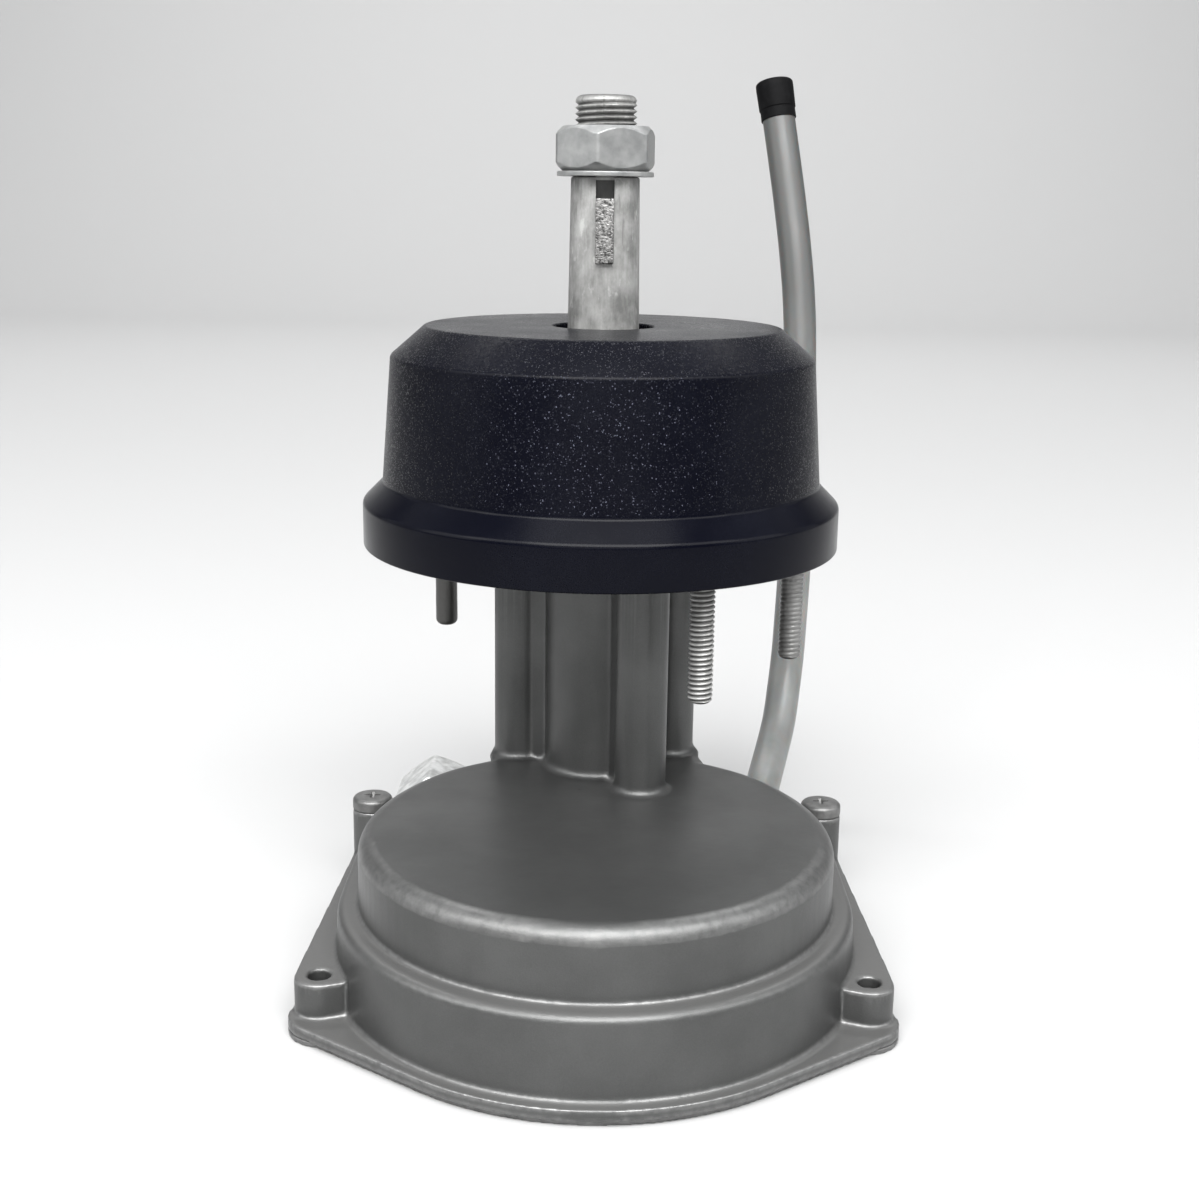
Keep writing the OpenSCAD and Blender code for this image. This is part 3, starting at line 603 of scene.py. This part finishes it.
def mark_bends(target, rounds=3):
    """Stores how convex (to 1) or hollow (to -1) the surface is at each point, as bend."""
    mesh = target.data
    count = len(mesh.vertices)
    place = np.empty(count * 3)
    facing = np.empty(count * 3)
    ends = np.empty(len(mesh.edges) * 2, np.int64)
    mesh.vertices.foreach_get("co", place)
    mesh.vertices.foreach_get("normal", facing)
    mesh.edges.foreach_get("vertices", ends)
    place, facing = place.reshape(-1, 3), facing.reshape(-1, 3)
    a, b = ends.reshape(-1, 2).T
    step = place[b] - place[a]
    turn = ((facing[b] - facing[a]) * step).sum(1) / np.maximum((step**2).sum(1), 1e-12)
    uses = np.maximum(np.bincount(np.concatenate([a, b]), minlength=count), 1)
    level = (np.bincount(a, turn, count) + np.bincount(b, turn, count)) / uses
    for _ in range(rounds):
        around = (np.bincount(a, level[b], count) + np.bincount(b, level[a], count)) / uses
        level = (level + around) / 2
    level = np.clip(level / TIGHTEST, -1, 1)
    marks = mesh.attributes.new("bend", "FLOAT", "POINT")
    marks.data.foreach_set("value", level.astype(np.float32))
    print(target.name, "convex points", int((level > 0.3).sum()))


mark_bends(housing)

# %% [markdown]
# The cast skin. A die casting is an even dull grey with soft clouds and a very fine grain. The
# grain is a third of a millimetre, so it is a bump and a slight speckle, and no geometry. The tight
# convex edges are paler, partly from wear and partly as a painted highlight. The hollow corners are
# paler as a painted highlight. The front of the roof's round edge is paler as a painted highlight
# where the lamp's bright line falls. The edge map alone would also find the soft rounds of the
# columns, so the roof's height and side limit it.

# %% Cast skin
ROOF_LOW, ROOF_HIGH = (0.0375, 0.0385), (0.0442, 0.0437)
ROOF_BACK = (-0.008, -0.02)
DARK_CAST, PALE_CAST = (0.073, 0.074, 0.073), (0.092, 0.093, 0.092)
# The pale colour of worn edges and of painted highlights.
WORN_AND_HIGHLIGHT_CAST = (0.175, 0.175, 0.173)
CAST_METALLIC = 0.72

cast = finish("cast_alloy", PALE_CAST, 0.4, CAST_METALLIC)
grain = cloud(cast, 0.35, 2.0)
tone = sums(cast, "ADD", times(cast, cloud(cast, 24, 4.0), 0.7), times(cast, grain, 0.3))
colour = blend(cast, remap(cast, tone, 0.38, 0.62), DARK_CAST, PALE_CAST)

bend_here = node(cast, "Attribute", {"attribute_name": "bend"}).outputs["Fac"]
here = parts_of(cast, place_of(cast))
at_roof = times(cast, remap(cast, here["Z"], *ROOF_LOW), remap(cast, here["Z"], *ROOF_HIGH))
at_roof = times(cast, at_roof, remap(cast, here["Y"], *ROOF_BACK))
# Painted highlight: the front of the roof's round edge is made paler.
roof_edge_highlight = times(cast, at_roof, remap(cast, bend_here, 0.13, 0.3))
# Convex edges are paler from wear and a painted highlight; hollow corners are paler as a painted
# highlight.
tight = sums(cast, "MAXIMUM", remap(cast, bend_here, 0.35, 0.9), remap(cast, bend_here, -0.4, -1.0))
patchy = remap(cast, cloud(cast, 2.0, 3.0), 0.3, 0.55, 0.35, 1.0)
edge = times(cast, sums(cast, "MAXIMUM", roof_edge_highlight, tight), patchy)
colour = blend(cast, edge, colour, WORN_AND_HIGHLIGHT_CAST)
print("roof edge worn from z", ROOF_LOW[0], "to", ROOF_HIGH[0], "m")

# %% [markdown]
# Pin holes, dust and painted light. A few small pores open in the skin of every casting: the cells
# of a Voronoi texture have one point each, which is a dark speck when only its near surroundings
# are kept. The low ledges that face up are paler and less metallic than the casting: a little dust
# lies on them, and the paler colour also paints the light from above onto them.

# %% Cast finish
LEDGE_HIGH = (0.030, 0.027)
# The ledges' colour is dust together with painted light from above.
DUST_AND_TOP_LIGHT, HOLE = (0.115, 0.115, 0.113), (0.02, 0.02, 0.02)
DUST_AND_TOP_LIGHT_METALLIC = 0.54

cells = node(cast, "TexVoronoi", Vector=place_of(cast), Scale=1 / (16 * MM)).outputs["Distance"]
holes = remap(cast, cells, 0.018, 0.03, 1.0, 0.0)
colour = blend(cast, times(cast, holes, 0.6), colour, HOLE)

facing_up = parts_of(cast, node(cast, "TexCoord").outputs["Normal"])["Z"]
# Up-facing low ledges: a little dust, and painted light from above.
dust_and_top_light = times(cast, remap(cast, facing_up, 0.7, 0.95), remap(cast, here["Z"], *LEDGE_HIGH))
plug(
    cast,
    Base_Color=blend(cast, dust_and_top_light, colour, DUST_AND_TOP_LIGHT),
    Metallic=remap(cast, dust_and_top_light, 0.0, 1.0, CAST_METALLIC, DUST_AND_TOP_LIGHT_METALLIC),
    Roughness=sums(
        cast, "SUBTRACT", remap(cast, tone, 0.38, 0.62, 0.43, 0.38), times(cast, edge, 0.01)),
    Normal=bump(cast, cloud(cast, 2.5, 3.0), 0.08, 0.4, bump(cast, grain, 0.05, 0.8)),
)
dress(housing, cast)

# %% [markdown]
# The back cover is the thin plate that closes the housing from below. Only its lip shows, so it
# gets the same treatment with smaller cubes.

# %% Back cover
COVER_CUBES = (0.45, 5, 0.3)

cover = casting("cover_casting", "back_cover", *COVER_CUBES, "helm_body", "cover_alloy")
mark_bends(cover)
dress(cover, cast)

# %% [markdown]
# The bezel is a moulded black cap over the mounting plate. It is turned from the model's own
# profile with small radii on each edge, and 256 sides so that its outline is truly round.

# %% Bezel shape
BEZEL_PATH = [
    (61.8, 108.02, 0), (64.6, 108.02, 0.5), (64.6, 119.62, 2.0), (59.2, 125.02, 1.5),
    (56.7, 158.32, 1.5), (47.5, 166.32, 1.5), (13.525, 166.32, 0.6), (13.525, 163.72, 0.3),
    (46.43, 163.72, 0.8), (54.35, 156.83, 0.8), (56.6, 125.02, 0.5), (56.6, 113.02, 0.3),
    (61.8, 113.02, 0),
]
BEZEL_SIDES = 256

bezel_shape = turned(BEZEL_PATH, BEZEL_SIDES, closed=True)
bezel = piece("bezel_cap", bezel_shape, "helm_body", "bezel", 30)

# %% [markdown]
# The bezel's grain is a spark-eroded mould texture on the wall, the shoulder and the top, while
# the rim was polished smoother. The height on the piece says which is which. Each grain is a
# small flat with its own lean, so only a few of them catch the lamp at a time, which is what
# makes it glitter.

# %% Bezel grain
RIM_END = (0.1252, 0.1262)
FLAT_SIZE = 0.27 * MM

black = finish("bezel_black", (0.006, 0.0063, 0.008), 0.4)
black.node_tree.nodes["Principled BSDF"].inputs["Specular IOR Level"].default_value = 0.09
textured = remap(black, parts_of(black, place_of(black))["Z"], *RIM_END)
fine = cloud(black, 0.3, 2.0)
relief = bump(black, times(black, fine, textured), 0.04, 0.4)
relief = bump(black, cloud(black, 1.2, 2.0), 0.015, 0.2, relief)
flats = node(black, "TexVoronoi", Vector=place_of(black), Scale=1 / FLAT_SIZE).outputs["Color"]
steep = times(black, remap(black, parts_of(black, flats)["Y"], 0.86, 0.92), textured)
tilt = times(black, remap(black, steep, 0.0, 1.0, 0.12, 0.72), textured)
lean = arrows(black, "MULTIPLY", arrows(black, "SUBTRACT", flats, (0.5, 0.5, 0.5)), tilt)
facing = arrows(black, "NORMALIZE", arrows(black, "ADD", relief, lean))
print("bezel flats of", FLAT_SIZE / MM, "mm above z", RIM_END[1])

# %% [markdown]
# The bezel's colour is a deep blue-black with a slight haze of dust. The few steep flats are a
# little metallic, so that they spark, and the haze decides how glossy the rest is.

# %% Bezel finish
CLEAN_BLACK, DUSTY_BLACK = (0.001, 0.0012, 0.0035), (0.0026, 0.003, 0.006)
SPARK = (0.018, 0.019, 0.025)

haze = cloud(black, 18, 4.0)
dust = remap(black, times(black, haze, fine), 0.22, 0.42)
colour = blend(black, dust, CLEAN_BLACK, DUSTY_BLACK)
plug(
    black,
    Base_Color=blend(black, steep, colour, SPARK),
    Metallic=steep,
    Roughness=remap(
        black, sums(black, "ADD", haze, times(black, textured, 0.4)), 0.3, 1.1, 0.18, 0.34),
    Normal=facing,
)
dress(bezel, black)

# %% [markdown]
# The tapered shaft. Above the bezel it narrows to seat a hub, has a keyway at the front, and
# ends in a thread. The thread is a real helix: the radius of each ring point rises and falls with
# height and angle, and fades at the end.

# %% Tapered shaft
SHAFT_PATH = [
    (0, 24.68), (5, 24.68), (5, 25.28), (4.1, 25.28), (4.1, 26.48), (5, 26.48), (5, 38),
    (9.525, 38), (9.525, 160.62), (8.625, 160.62), (8.625, 161.82), (9.525, 161.82),
    (9.525, 166.32), (9.27, 185.0), (9.01, 204.2), (8.9, 204.5), (8.3, 204.82), (7.2, 204.82),
]
SHAFT_SIDES = 96
SHAFT_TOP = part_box("wheel_shaft")[1].z / MM
SHAFT_END = [(7.95, 1.2), (7.6, 0.5), (7.0, 0.12), (6.6, 0.0), (0, 0.0)]
THREAD_FOOT, THREAD_STEP = 205.6, 0.15
THREAD_RADIUS, THREAD_PITCH, THREAD_DEPTH = 8.0, 1.5, 0.85
THREAD_STOP, FADE_STOP = SHAFT_TOP - 1.3, SHAFT_TOP - 1.1


def thread_radius(z, sides, major, pitch, depth, end):
    """Radii of one ring of a right-hand thread; it fades over the last turn before end."""
    angle = np.arange(sides) / sides
    phase = (z / pitch - angle) % 1.0
    ridge = np.clip(2.6 * np.minimum(phase, 1 - phase) - 0.15, 0, 1)
    fade = min(1.0, max(0.0, (end - z) / (0.9 * pitch)))
    return major - depth * (1 - ridge) * fade


rings = stacked(SHAFT_PATH, SHAFT_SIDES)
for z in np.arange(THREAD_FOOT, THREAD_STOP, THREAD_STEP):
    radii = thread_radius(z, SHAFT_SIDES, THREAD_RADIUS, THREAD_PITCH, THREAD_DEPTH, FADE_STOP)
    rings.append(ring(radii * MM, z * MM, SHAFT_SIDES))
rings += stacked([(r, SHAFT_TOP - drop) for r, drop in SHAFT_END], SHAFT_SIDES)
shaft = piece("wheel_shaft_turned", skin(rings), "shaft", "wheel_shaft", 45)

# %% [markdown]
# The keyway's walls are square, so a box is cut out of the shaft with a boolean, which is the one
# job a lathe can't do. The key's own foot says where the slot starts.

# %% Keyway
KEYWAY = Vector((4.8, 8.0, 22.4)) * MM
KEYWAY_FLOOR = -6.4 * MM

slot_mesh = bpy.data.meshes.new("keyway_cutter")
cutter_box = bmesh.new()
bmesh.ops.create_cube(cutter_box, size=1.0)
bmesh.ops.scale(cutter_box, vec=KEYWAY, verts=cutter_box.verts)
keyway_middle = (0, KEYWAY_FLOOR - KEYWAY.y / 2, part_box("wheel_key")[0].z + KEYWAY.z / 2)
bmesh.ops.translate(cutter_box, vec=keyway_middle, verts=cutter_box.verts)
cutter_box.to_mesh(slot_mesh)
cutter_box.free()
cutter = add("keyway_cutter", slot_mesh)
cut = shaft.modifiers.new("keyway", "BOOLEAN")
cut.object = cutter
cut.operation = "DIFFERENCE"
cut.solver = "EXACT"
ready = shaft.evaluated_get(bpy.context.evaluated_depsgraph_get())
with_keyway = bpy.data.meshes.new_from_object(ready)
shaft.modifiers.clear()
shaft.data = with_keyway
bpy.data.objects.remove(cutter)
shaft.data.shade_smooth()
shaft.data.set_sharp_from_angle(angle=math.radians(40))
print("shaft with keyway", len(shaft.data.polygons), "faces")

# %% [markdown]
# The shaft's steel is pale and satin, with cloudy stains, long faint streaks from hubs pulled off
# it, a few sharp scratches and bright flecks. The thread's grooves and the keyway are darkened with
# painted shade. Streaks are noise stretched along Z, and the distance from the axis finds the
# grooves.

# %% Shaft finish
STAINED_STEEL, CLEAN_STEEL = (0.14, 0.14, 0.136), (0.33, 0.33, 0.322)
SCRATCH, FLECK = (0.12, 0.12, 0.115), (0.46, 0.46, 0.45)
# Painted shade for the thread's grooves and the keyway.
THREAD_SHADE, SLOT_SHADE = (0.05, 0.05, 0.048), (0.02, 0.02, 0.019)
ABOVE_TAPER, BELOW_TAPER = (0.2045, 0.205), (0.204, 0.2038)

steel = finish("shaft_steel", (0.5, 0.5, 0.48), 0.5, 0.4)
streaks = cloud(steel, 0.8, 4.0, (1, 1, 14))
stains = cloud(steel, 5.0, 6.0, (1, 1, 1.5), 0.62)
tone = sums(steel, "ADD", times(steel, streaks, 0.2), times(steel, stains, 0.8))
colour = blend(steel, remap(steel, tone, 0.36, 0.64), STAINED_STEEL, CLEAN_STEEL)
scratch = remap(steel, cloud(steel, 1.4, 1.0, (1, 1, 9)), 0.68, 0.71)
colour = blend(steel, times(steel, scratch, 0.55), colour, SCRATCH)
flecks = remap(steel, cloud(steel, 2.4, 5.0, (1, 1, 1.8)), 0.6, 0.7, 0.0, 0.6)
colour = blend(steel, flecks, colour, FLECK)

here = parts_of(steel, place_of(steel))
level = node(steel, "CombineXYZ", X=here["X"], Y=here["Y"]).outputs[0]
off_axis = node(steel, "VectorMath", {"operation": "LENGTH"}, Vector=level).outputs["Value"]
# Painted shade in the thread's grooves.
groove = times(steel, remap(steel, off_axis, 7.85 * MM, 7.3 * MM),
               remap(steel, here["Z"], *ABOVE_TAPER))
colour = blend(steel, times(steel, groove, 0.85), colour, THREAD_SHADE)
# Painted shade in the keyway above the key.
slot = times(steel, remap(steel, off_axis, 8.95 * MM, 8.5 * MM, 0.0, 0.9),
             remap(steel, here["Z"], *BELOW_TAPER))
plug(
    steel,
    Base_Color=blend(steel, slot, colour, SLOT_SHADE),
    Roughness=remap(steel, tone, 0.36, 0.64, 0.52, 0.4),
    Normal=bump(steel, stains, 0.1, 0.4, bump(steel, streaks, 0.015, 0.5)),
)
dress(shaft, steel)

# %% [markdown]
# The key is a short steel bar that stops the hub from turning on the taper. A cube with three
# small steps of bevel on each edge has the look of bright drawn bar.

# %% Shaft key
KEY_EDGE = 0.35 * MM

low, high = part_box("wheel_key")
key_work = bmesh.new()
bmesh.ops.create_cube(key_work, size=1.0)
bmesh.ops.scale(key_work, vec=high - low, verts=key_work.verts)
bmesh.ops.translate(key_work, vec=(low + high) / 2, verts=key_work.verts)
bmesh.ops.bevel(
    key_work, geom=key_work.edges[:], offset=KEY_EDGE, segments=3, profile=0.6, affect="EDGES")
key_points = [v.co.copy() for v in key_work.verts]
key_work.verts.index_update()
key_faces = [[v.index for v in f.verts] for f in key_work.faces]
key_work.free()
key = piece("wheel_key_bar", (key_points, key_faces), "shaft", "wheel_key", 50)

# %% [markdown]
# The key has been hammered in and drawn out again, so its front is covered in dents and bright
# scuffs. Coarse and fine noise together, in colour and in bump, look like that; a wave texture
# would look like a file.

# %% Key finish
DENT, SCUFF = (0.025, 0.0245, 0.024), (0.24, 0.237, 0.232)

key_steel = finish("key_steel", (0.55, 0.54, 0.52), 0.45, 0.6)
dents = cloud(key_steel, 0.5, 2.0, (1.3, 1, 1))
scuffs = cloud(key_steel, 1.8, 3.0)
marks = sums(key_steel, "ADD", times(key_steel, dents, 0.75), times(key_steel, scuffs, 0.4))
plug(
    key_steel,
    Base_Color=blend(key_steel, remap(key_steel, marks, 0.42, 0.66), DENT, SCUFF),
    Roughness=remap(key_steel, marks, 0.4, 0.7, 0.55, 0.35),
    Normal=bump(key_steel, marks, 0.5, 0.8),
)
dress(key, key_steel)

# %% [markdown]
# Nuts. A hexagon is a ring whose radius depends on the angle, and the turned corners are a cone
# that trims each ring as it nears an end. Where the cone meets a flat it leaves the curved line
# that every real nut has. The same helper makes the shaft nut and the long nut on the left port.

# %% Hexagon nuts
NUT_SIDES, NUT_CORNER, NUT_SLOPE = 180, 0.25, math.radians(42)
BORE_EDGE, FACE_EDGE, TURNED_DEPTH, TURNED_RINGS = 0.6, 0.15, 3.2, 17


def hexagon(flat, turn):
    """Radii of a hexagon of that half width in mm, with slightly rounded corners."""
    angle = np.arange(NUT_SIDES) * 360 / NUT_SIDES - turn
    from_flat = np.radians((angle % 60) - 30)
    return np.minimum(flat / np.cos(from_flat), flat / math.cos(math.pi / 6) - NUT_CORNER)


def nut(flat, high, bore, face, turn):
    """A hexagon nut on the origin, in mm; face is the radius of its round end faces."""
    outline = hexagon(flat, turn)
    end = face - FACE_EDGE
    rings = stacked([(bore + BORE_EDGE, 0), (end, 0)], NUT_SIDES)
    lower = np.linspace(0, TURNED_DEPTH, TURNED_RINGS)
    upper = np.linspace(high - TURNED_DEPTH, high, TURNED_RINGS)
    for z in np.concatenate([lower, upper]):
        cone = face + min(z, high - z) / math.tan(NUT_SLOPE)
        rings.append(ring(np.minimum(outline, cone) * MM, z * MM, NUT_SIDES))
    rings += stacked(
        [(end, high), (bore + BORE_EDGE, high), (bore, high - BORE_EDGE), (bore, BORE_EDGE)],
        NUT_SIDES)
    return skin(rings, closed=True)


low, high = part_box("wheel_nut")
points, faces = nut(12.0, (high.z - low.z) / MM, 8.05, 11.2, 20)
nut_shape = (points + np.array([0, 0, low.z]), faces)
wheel_nut = piece("wheel_nut_plated", nut_shape, "shaft", "wheel_nut", 28)
dress(wheel_nut, bright_zinc)

# %% [markdown]
# The port nut clamps the end of an outer tube into the left port. It is the same nut, longer, laid
# down along Y. Its zinc is a much lighter copy of the wheel nut's: partly brighter plating, partly
# painted light.

# %% Port nut
PORT_X, PORT_Z = -50 * MM, 14 * MM

low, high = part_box("cable_port_nut")
points, faces = nut(11.5, (high.y - low.y) / MM, 6.0, 10.7, 23)
points = np.stack([points[:, 0] + PORT_X, points[:, 2] + low.y, PORT_Z - points[:, 1]], 1)
port_nut = piece(
    "port_nut_plated", (points, faces), "helm_body", "cable_port_nut", 28)
# A lighter copy of the zinc, partly painted light.
lit_port_zinc = metal(
    "lit_port_zinc", (0.4, 0.405, 0.4), (0.72, 0.725, 0.72), (0.3, 0.5), 4, 0.7, 0.02, metallic=0.6)
dress(port_nut, lit_port_zinc)

# %% [markdown]
# The washer under the shaft nut is a thin stamped ring, rounded on one edge by the punch.

# %% Shaft washer
WASHER_BORE, WASHER_SIDES = 8.3, 128

low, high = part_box("wheel_washer")
z0, z1, washer_r = low.z / MM, high.z / MM, high.x / MM
WASHER_PATH = [(WASHER_BORE, z0, 0), (washer_r, z0, 0.2), (washer_r, z1, 0.4), (WASHER_BORE, z1, 0)]
washer_shape = turned(WASHER_PATH, WASHER_SIDES, closed=True)
washer = piece("wheel_washer_plated", washer_shape, "shaft", "wheel_washer")
dress(washer, bright_zinc)

# %% [markdown]
# The ends of the dash studs. Three studs hold the helm to the dash of the boat. A threaded one
# starts with a cone, so that a nut finds it, and its thread is made with the shaft's own helper. A
# plain one ends as a peg with a rounded edge. A texture could fake the thread, but its outline
# would stay straight against the pale floor.

# %% Stud ends
STUD_SIDES, STUD_RADIUS, STUD_PITCH = 48, 3.175, 1.27
STUD_END, PLATE_UNDER, PLATE_OVER = 76.12, 108.02, 113.02
STUD_ROOT, TIP_CONE, PEG_ROUND = 2.5, 0.18, 1.8


def threaded_end(depth):
    """Rings of a thread of that depth, with a coned tip."""
    rings = stacked([(2.2, STUD_END), (2.45, STUD_END + TIP_CONE)], STUD_SIDES)
    for z in np.arange(STUD_END + 0.28, PLATE_UNDER - 0.12, STUD_PITCH / 10):
        radii = thread_radius(z, STUD_SIDES, STUD_RADIUS, STUD_PITCH, depth, PLATE_OVER)
        radii = np.minimum(radii, STUD_ROOT + 0.9 * (z - STUD_END - TIP_CONE))
        rings.append(ring(radii * MM, z * MM, STUD_SIDES))
    return rings


def peg_end():
    """Rings of a plain peg with a rounded end."""
    path = [
        (STUD_RADIUS - PEG_ROUND + PEG_ROUND * math.sin(a),
         STUD_END + PEG_ROUND - PEG_ROUND * math.cos(a))
        for a in np.linspace(0.1, math.pi / 2, 9)
    ]
    return stacked(path, STUD_SIDES)


print("stud ends of", len(threaded_end(0.62)), "and", len(peg_end()), "rings")

# %% [markdown]
# The dash studs are one piece. The front one has a clear thread, the right one's is faint, and the
# left one is the plain peg. How far each point stands above the thread's root, times its stud's
# share of painted light, is kept as an attribute. Painted shade can then sit in the roots and on
# the studs further back.

# %% Dash studs
# The last number in each row is the stud's painted light; the studs further back get painted shade.
STUDS = [  # where it stands, depth of its thread and how bright it is
    ((25.695, -46.355), 0.62, 1.0), ((52.871, -3.697), 0.22, 0.55), ((-45.190, 27.692), 0, 0.17),
]
HEAD_RADIUS, STUD_RISE = 3.675, 0.6


def stud(centre, depth, painted_light):
    """One stud: its shape, and at each point its height above the thread's root times its painted
    light.
    """
    rings = [tip(STUD_END * MM)] + (threaded_end(depth) if depth else peg_end())
    rings += stacked(
        [(STUD_RADIUS, PLATE_UNDER - 0.02), (HEAD_RADIUS, PLATE_UNDER), (HEAD_RADIUS, PLATE_OVER),
         (0, PLATE_OVER)],
        STUD_SIDES)
    points, faces = skin(rings)
    height = (np.linalg.norm(points[:, :2], axis=1) / MM - STUD_ROOT) / STUD_RISE
    return (points + np.array([*centre, 0]) * MM, faces), painted_light * np.clip(height, 0, 1)


made_studs = [stud(*row) for row in STUDS]
studs = piece(
    "dash_studs_threaded", joined([shape for shape, _ in made_studs]), "helm_body",
    "dash_studs", 60)
crest_and_light_values = np.concatenate([crest_and_light for _, crest_and_light in made_studs]).astype(np.float32)
studs.data.attributes.new("crest_and_light", "FLOAT", "POINT").data.foreach_set("value", crest_and_light_values)

# %% [markdown]
# The studs' plating has gone cloudy, and painted shade darkens it wherever the attribute is low: in
# the roots of the thread, partly on the right stud, and all over the plain peg at the back.

# %% Stud finish
# The dark colour is painted shade for the thread's roots and the back studs.
DULL_STUD, BRIGHT_STUD, STUD_SHADE = (0.29, 0.29, 0.283), (0.43, 0.43, 0.42), (0.05, 0.049, 0.047)

stud_steel = finish("stud_steel", (0.5, 0.5, 0.49), 0.38, 0.6)
crest_and_light_here = node(stud_steel, "Attribute", {"attribute_name": "crest_and_light"}).outputs["Fac"]
tarnish = cloud(stud_steel, 4, 4.0)
colour = blend(stud_steel, remap(stud_steel, tarnish, 0.35, 0.65), DULL_STUD, BRIGHT_STUD)
plug(
    stud_steel,
    Base_Color=blend(stud_steel, remap(stud_steel, crest_and_light_here, 0.9, 0.1), colour, STUD_SHADE),
    Roughness=remap(stud_steel, tarnish, 0.3, 0.7, 0.3, 0.48),
    Normal=bump(stud_steel, cloud(stud_steel, 0.4, 2.0), 0.01),
)
dress(studs, stud_steel)

# %% [markdown]
# The rear cover screws have flat round heads with a cross recess. The recess is a ring whose
# radius jumps between the arms of a cross, so one skin makes shank, head and recess.

# %% Rear cover screws
SCREW_SIDES, SCREW_HEAD = 96, 3.8
CROSS_ARM, CROSS_HALF = 2.3, 0.55
RECESS = [(1.0, 0.02), (0.95, 0.3), (0.55, 1.9)]
SCREW_PLACES = [(65.1, 5.5), (-65.1, 5.5)]


def cross():
    """Radii of a cross, in mm."""
    from_arm = np.radians((np.arange(SCREW_SIDES) * 360 / SCREW_SIDES + 45) % 90 - 45)
    beside = CROSS_HALF / np.maximum(np.abs(np.sin(from_arm)), 1e-6)
    return np.minimum(CROSS_ARM / np.cos(from_arm), beside)


def pan_screw(centre, foot, top):
    """A screw with a low round head and a cross recess, head up; heights are in mm."""
    seat = top - SCREW_HEAD
    path = [
        (0, foot, 0), (2.4, foot, 0), (3.0, foot + 0.6, 0), (3.0, seat, 0.1), (5.3, seat, 0),
        (5.7, seat + 0.3, 0.2), (5.7, top - 0.3, 1.3), (2.9, top, 0),
    ]
    rings = stacked(rounded(path), SCREW_SIDES)
    rings += [ring(cross() * k * MM, (top - drop) * MM, SCREW_SIDES) for k, drop in RECESS]
    rings.append(tip((top - 2.1) * MM))
    points, faces = skin(rings)
    return points + np.array([*centre, 0]) * MM, faces


low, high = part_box("rear_cover_screws")
screw_shapes = [pan_screw(centre, low.z / MM, high.z / MM) for centre in SCREW_PLACES]
rear_screws = piece(
    "rear_screws_plated", joined(screw_shapes), "helm_body", "rear_cover_screws", 40)
rear_zinc = metal(
    "rear_zinc", (0.11, 0.11, 0.108), (0.175, 0.175, 0.172), (0.35, 0.5), 3, 0.5, metallic=0.7)
dress(rear_screws, rear_zinc)

# %% [markdown]
# The tube is milky plastic: a little light goes in and comes out elsewhere, so it gets some
# subsurface scattering and faint clouds. Its colour is darker towards the top.

# %% Tube finish
MILK_DARK, MILK_PALE, DARK_TOP_TONE = (0.15, 0.154, 0.15), (0.19, 0.195, 0.19), (0.06, 0.0615, 0.06)
DARKER_FROM, DARKER_FULL = 0.07, 0.17

milky = finish("tube_plastic", (0.5, 0.51, 0.5), 0.35)
tube_shader = milky.node_tree.nodes["Principled BSDF"]
tube_shader.inputs["Subsurface Weight"].default_value = 0.35
tube_shader.inputs["Subsurface Scale"].default_value = 0.004
milk = cloud(milky, 9, 3.0, (1, 1, 4))
colour = blend(milky, remap(milky, milk, 0.35, 0.65), MILK_DARK, MILK_PALE)
towards_top = remap(milky, parts_of(milky, place_of(milky))["Z"], DARKER_FROM, DARKER_FULL)
plug(
    milky,
    Base_Color=blend(milky, towards_top, colour, DARK_TOP_TONE),
    Roughness=remap(milky, milk, 0.3, 0.7, 0.28, 0.42),
    Normal=bump(milky, cloud(milky, 0.8, 2.0, (1, 1, 6)), 0.02, 0.4),
)
dress(tube, milky)

# %% [markdown]
# The cap is dull black rubber. Its bloom, the pale film that old rubber gets, is a soft cloud in
# the colour and the gloss.

# %% Cap finish
RUBBER, BLOOM = (0.0022, 0.0022, 0.0025), (0.0055, 0.0055, 0.006)

rubber = finish("cap_rubber", (0.006, 0.006, 0.0065), 0.55)
rubber.node_tree.nodes["Principled BSDF"].inputs["Specular IOR Level"].default_value = 0.06
bloom = cloud(rubber, 2.2, 4.0)
plug(
    rubber,
    Base_Color=blend(rubber, remap(rubber, bloom, 0.4, 0.7), RUBBER, BLOOM),
    Roughness=remap(rubber, bloom, 0.3, 0.7, 0.45, 0.65),
    Normal=bump(rubber, cloud(rubber, 0.35, 2.0), 0.03, 0.6),
)
dress(cap, rubber)
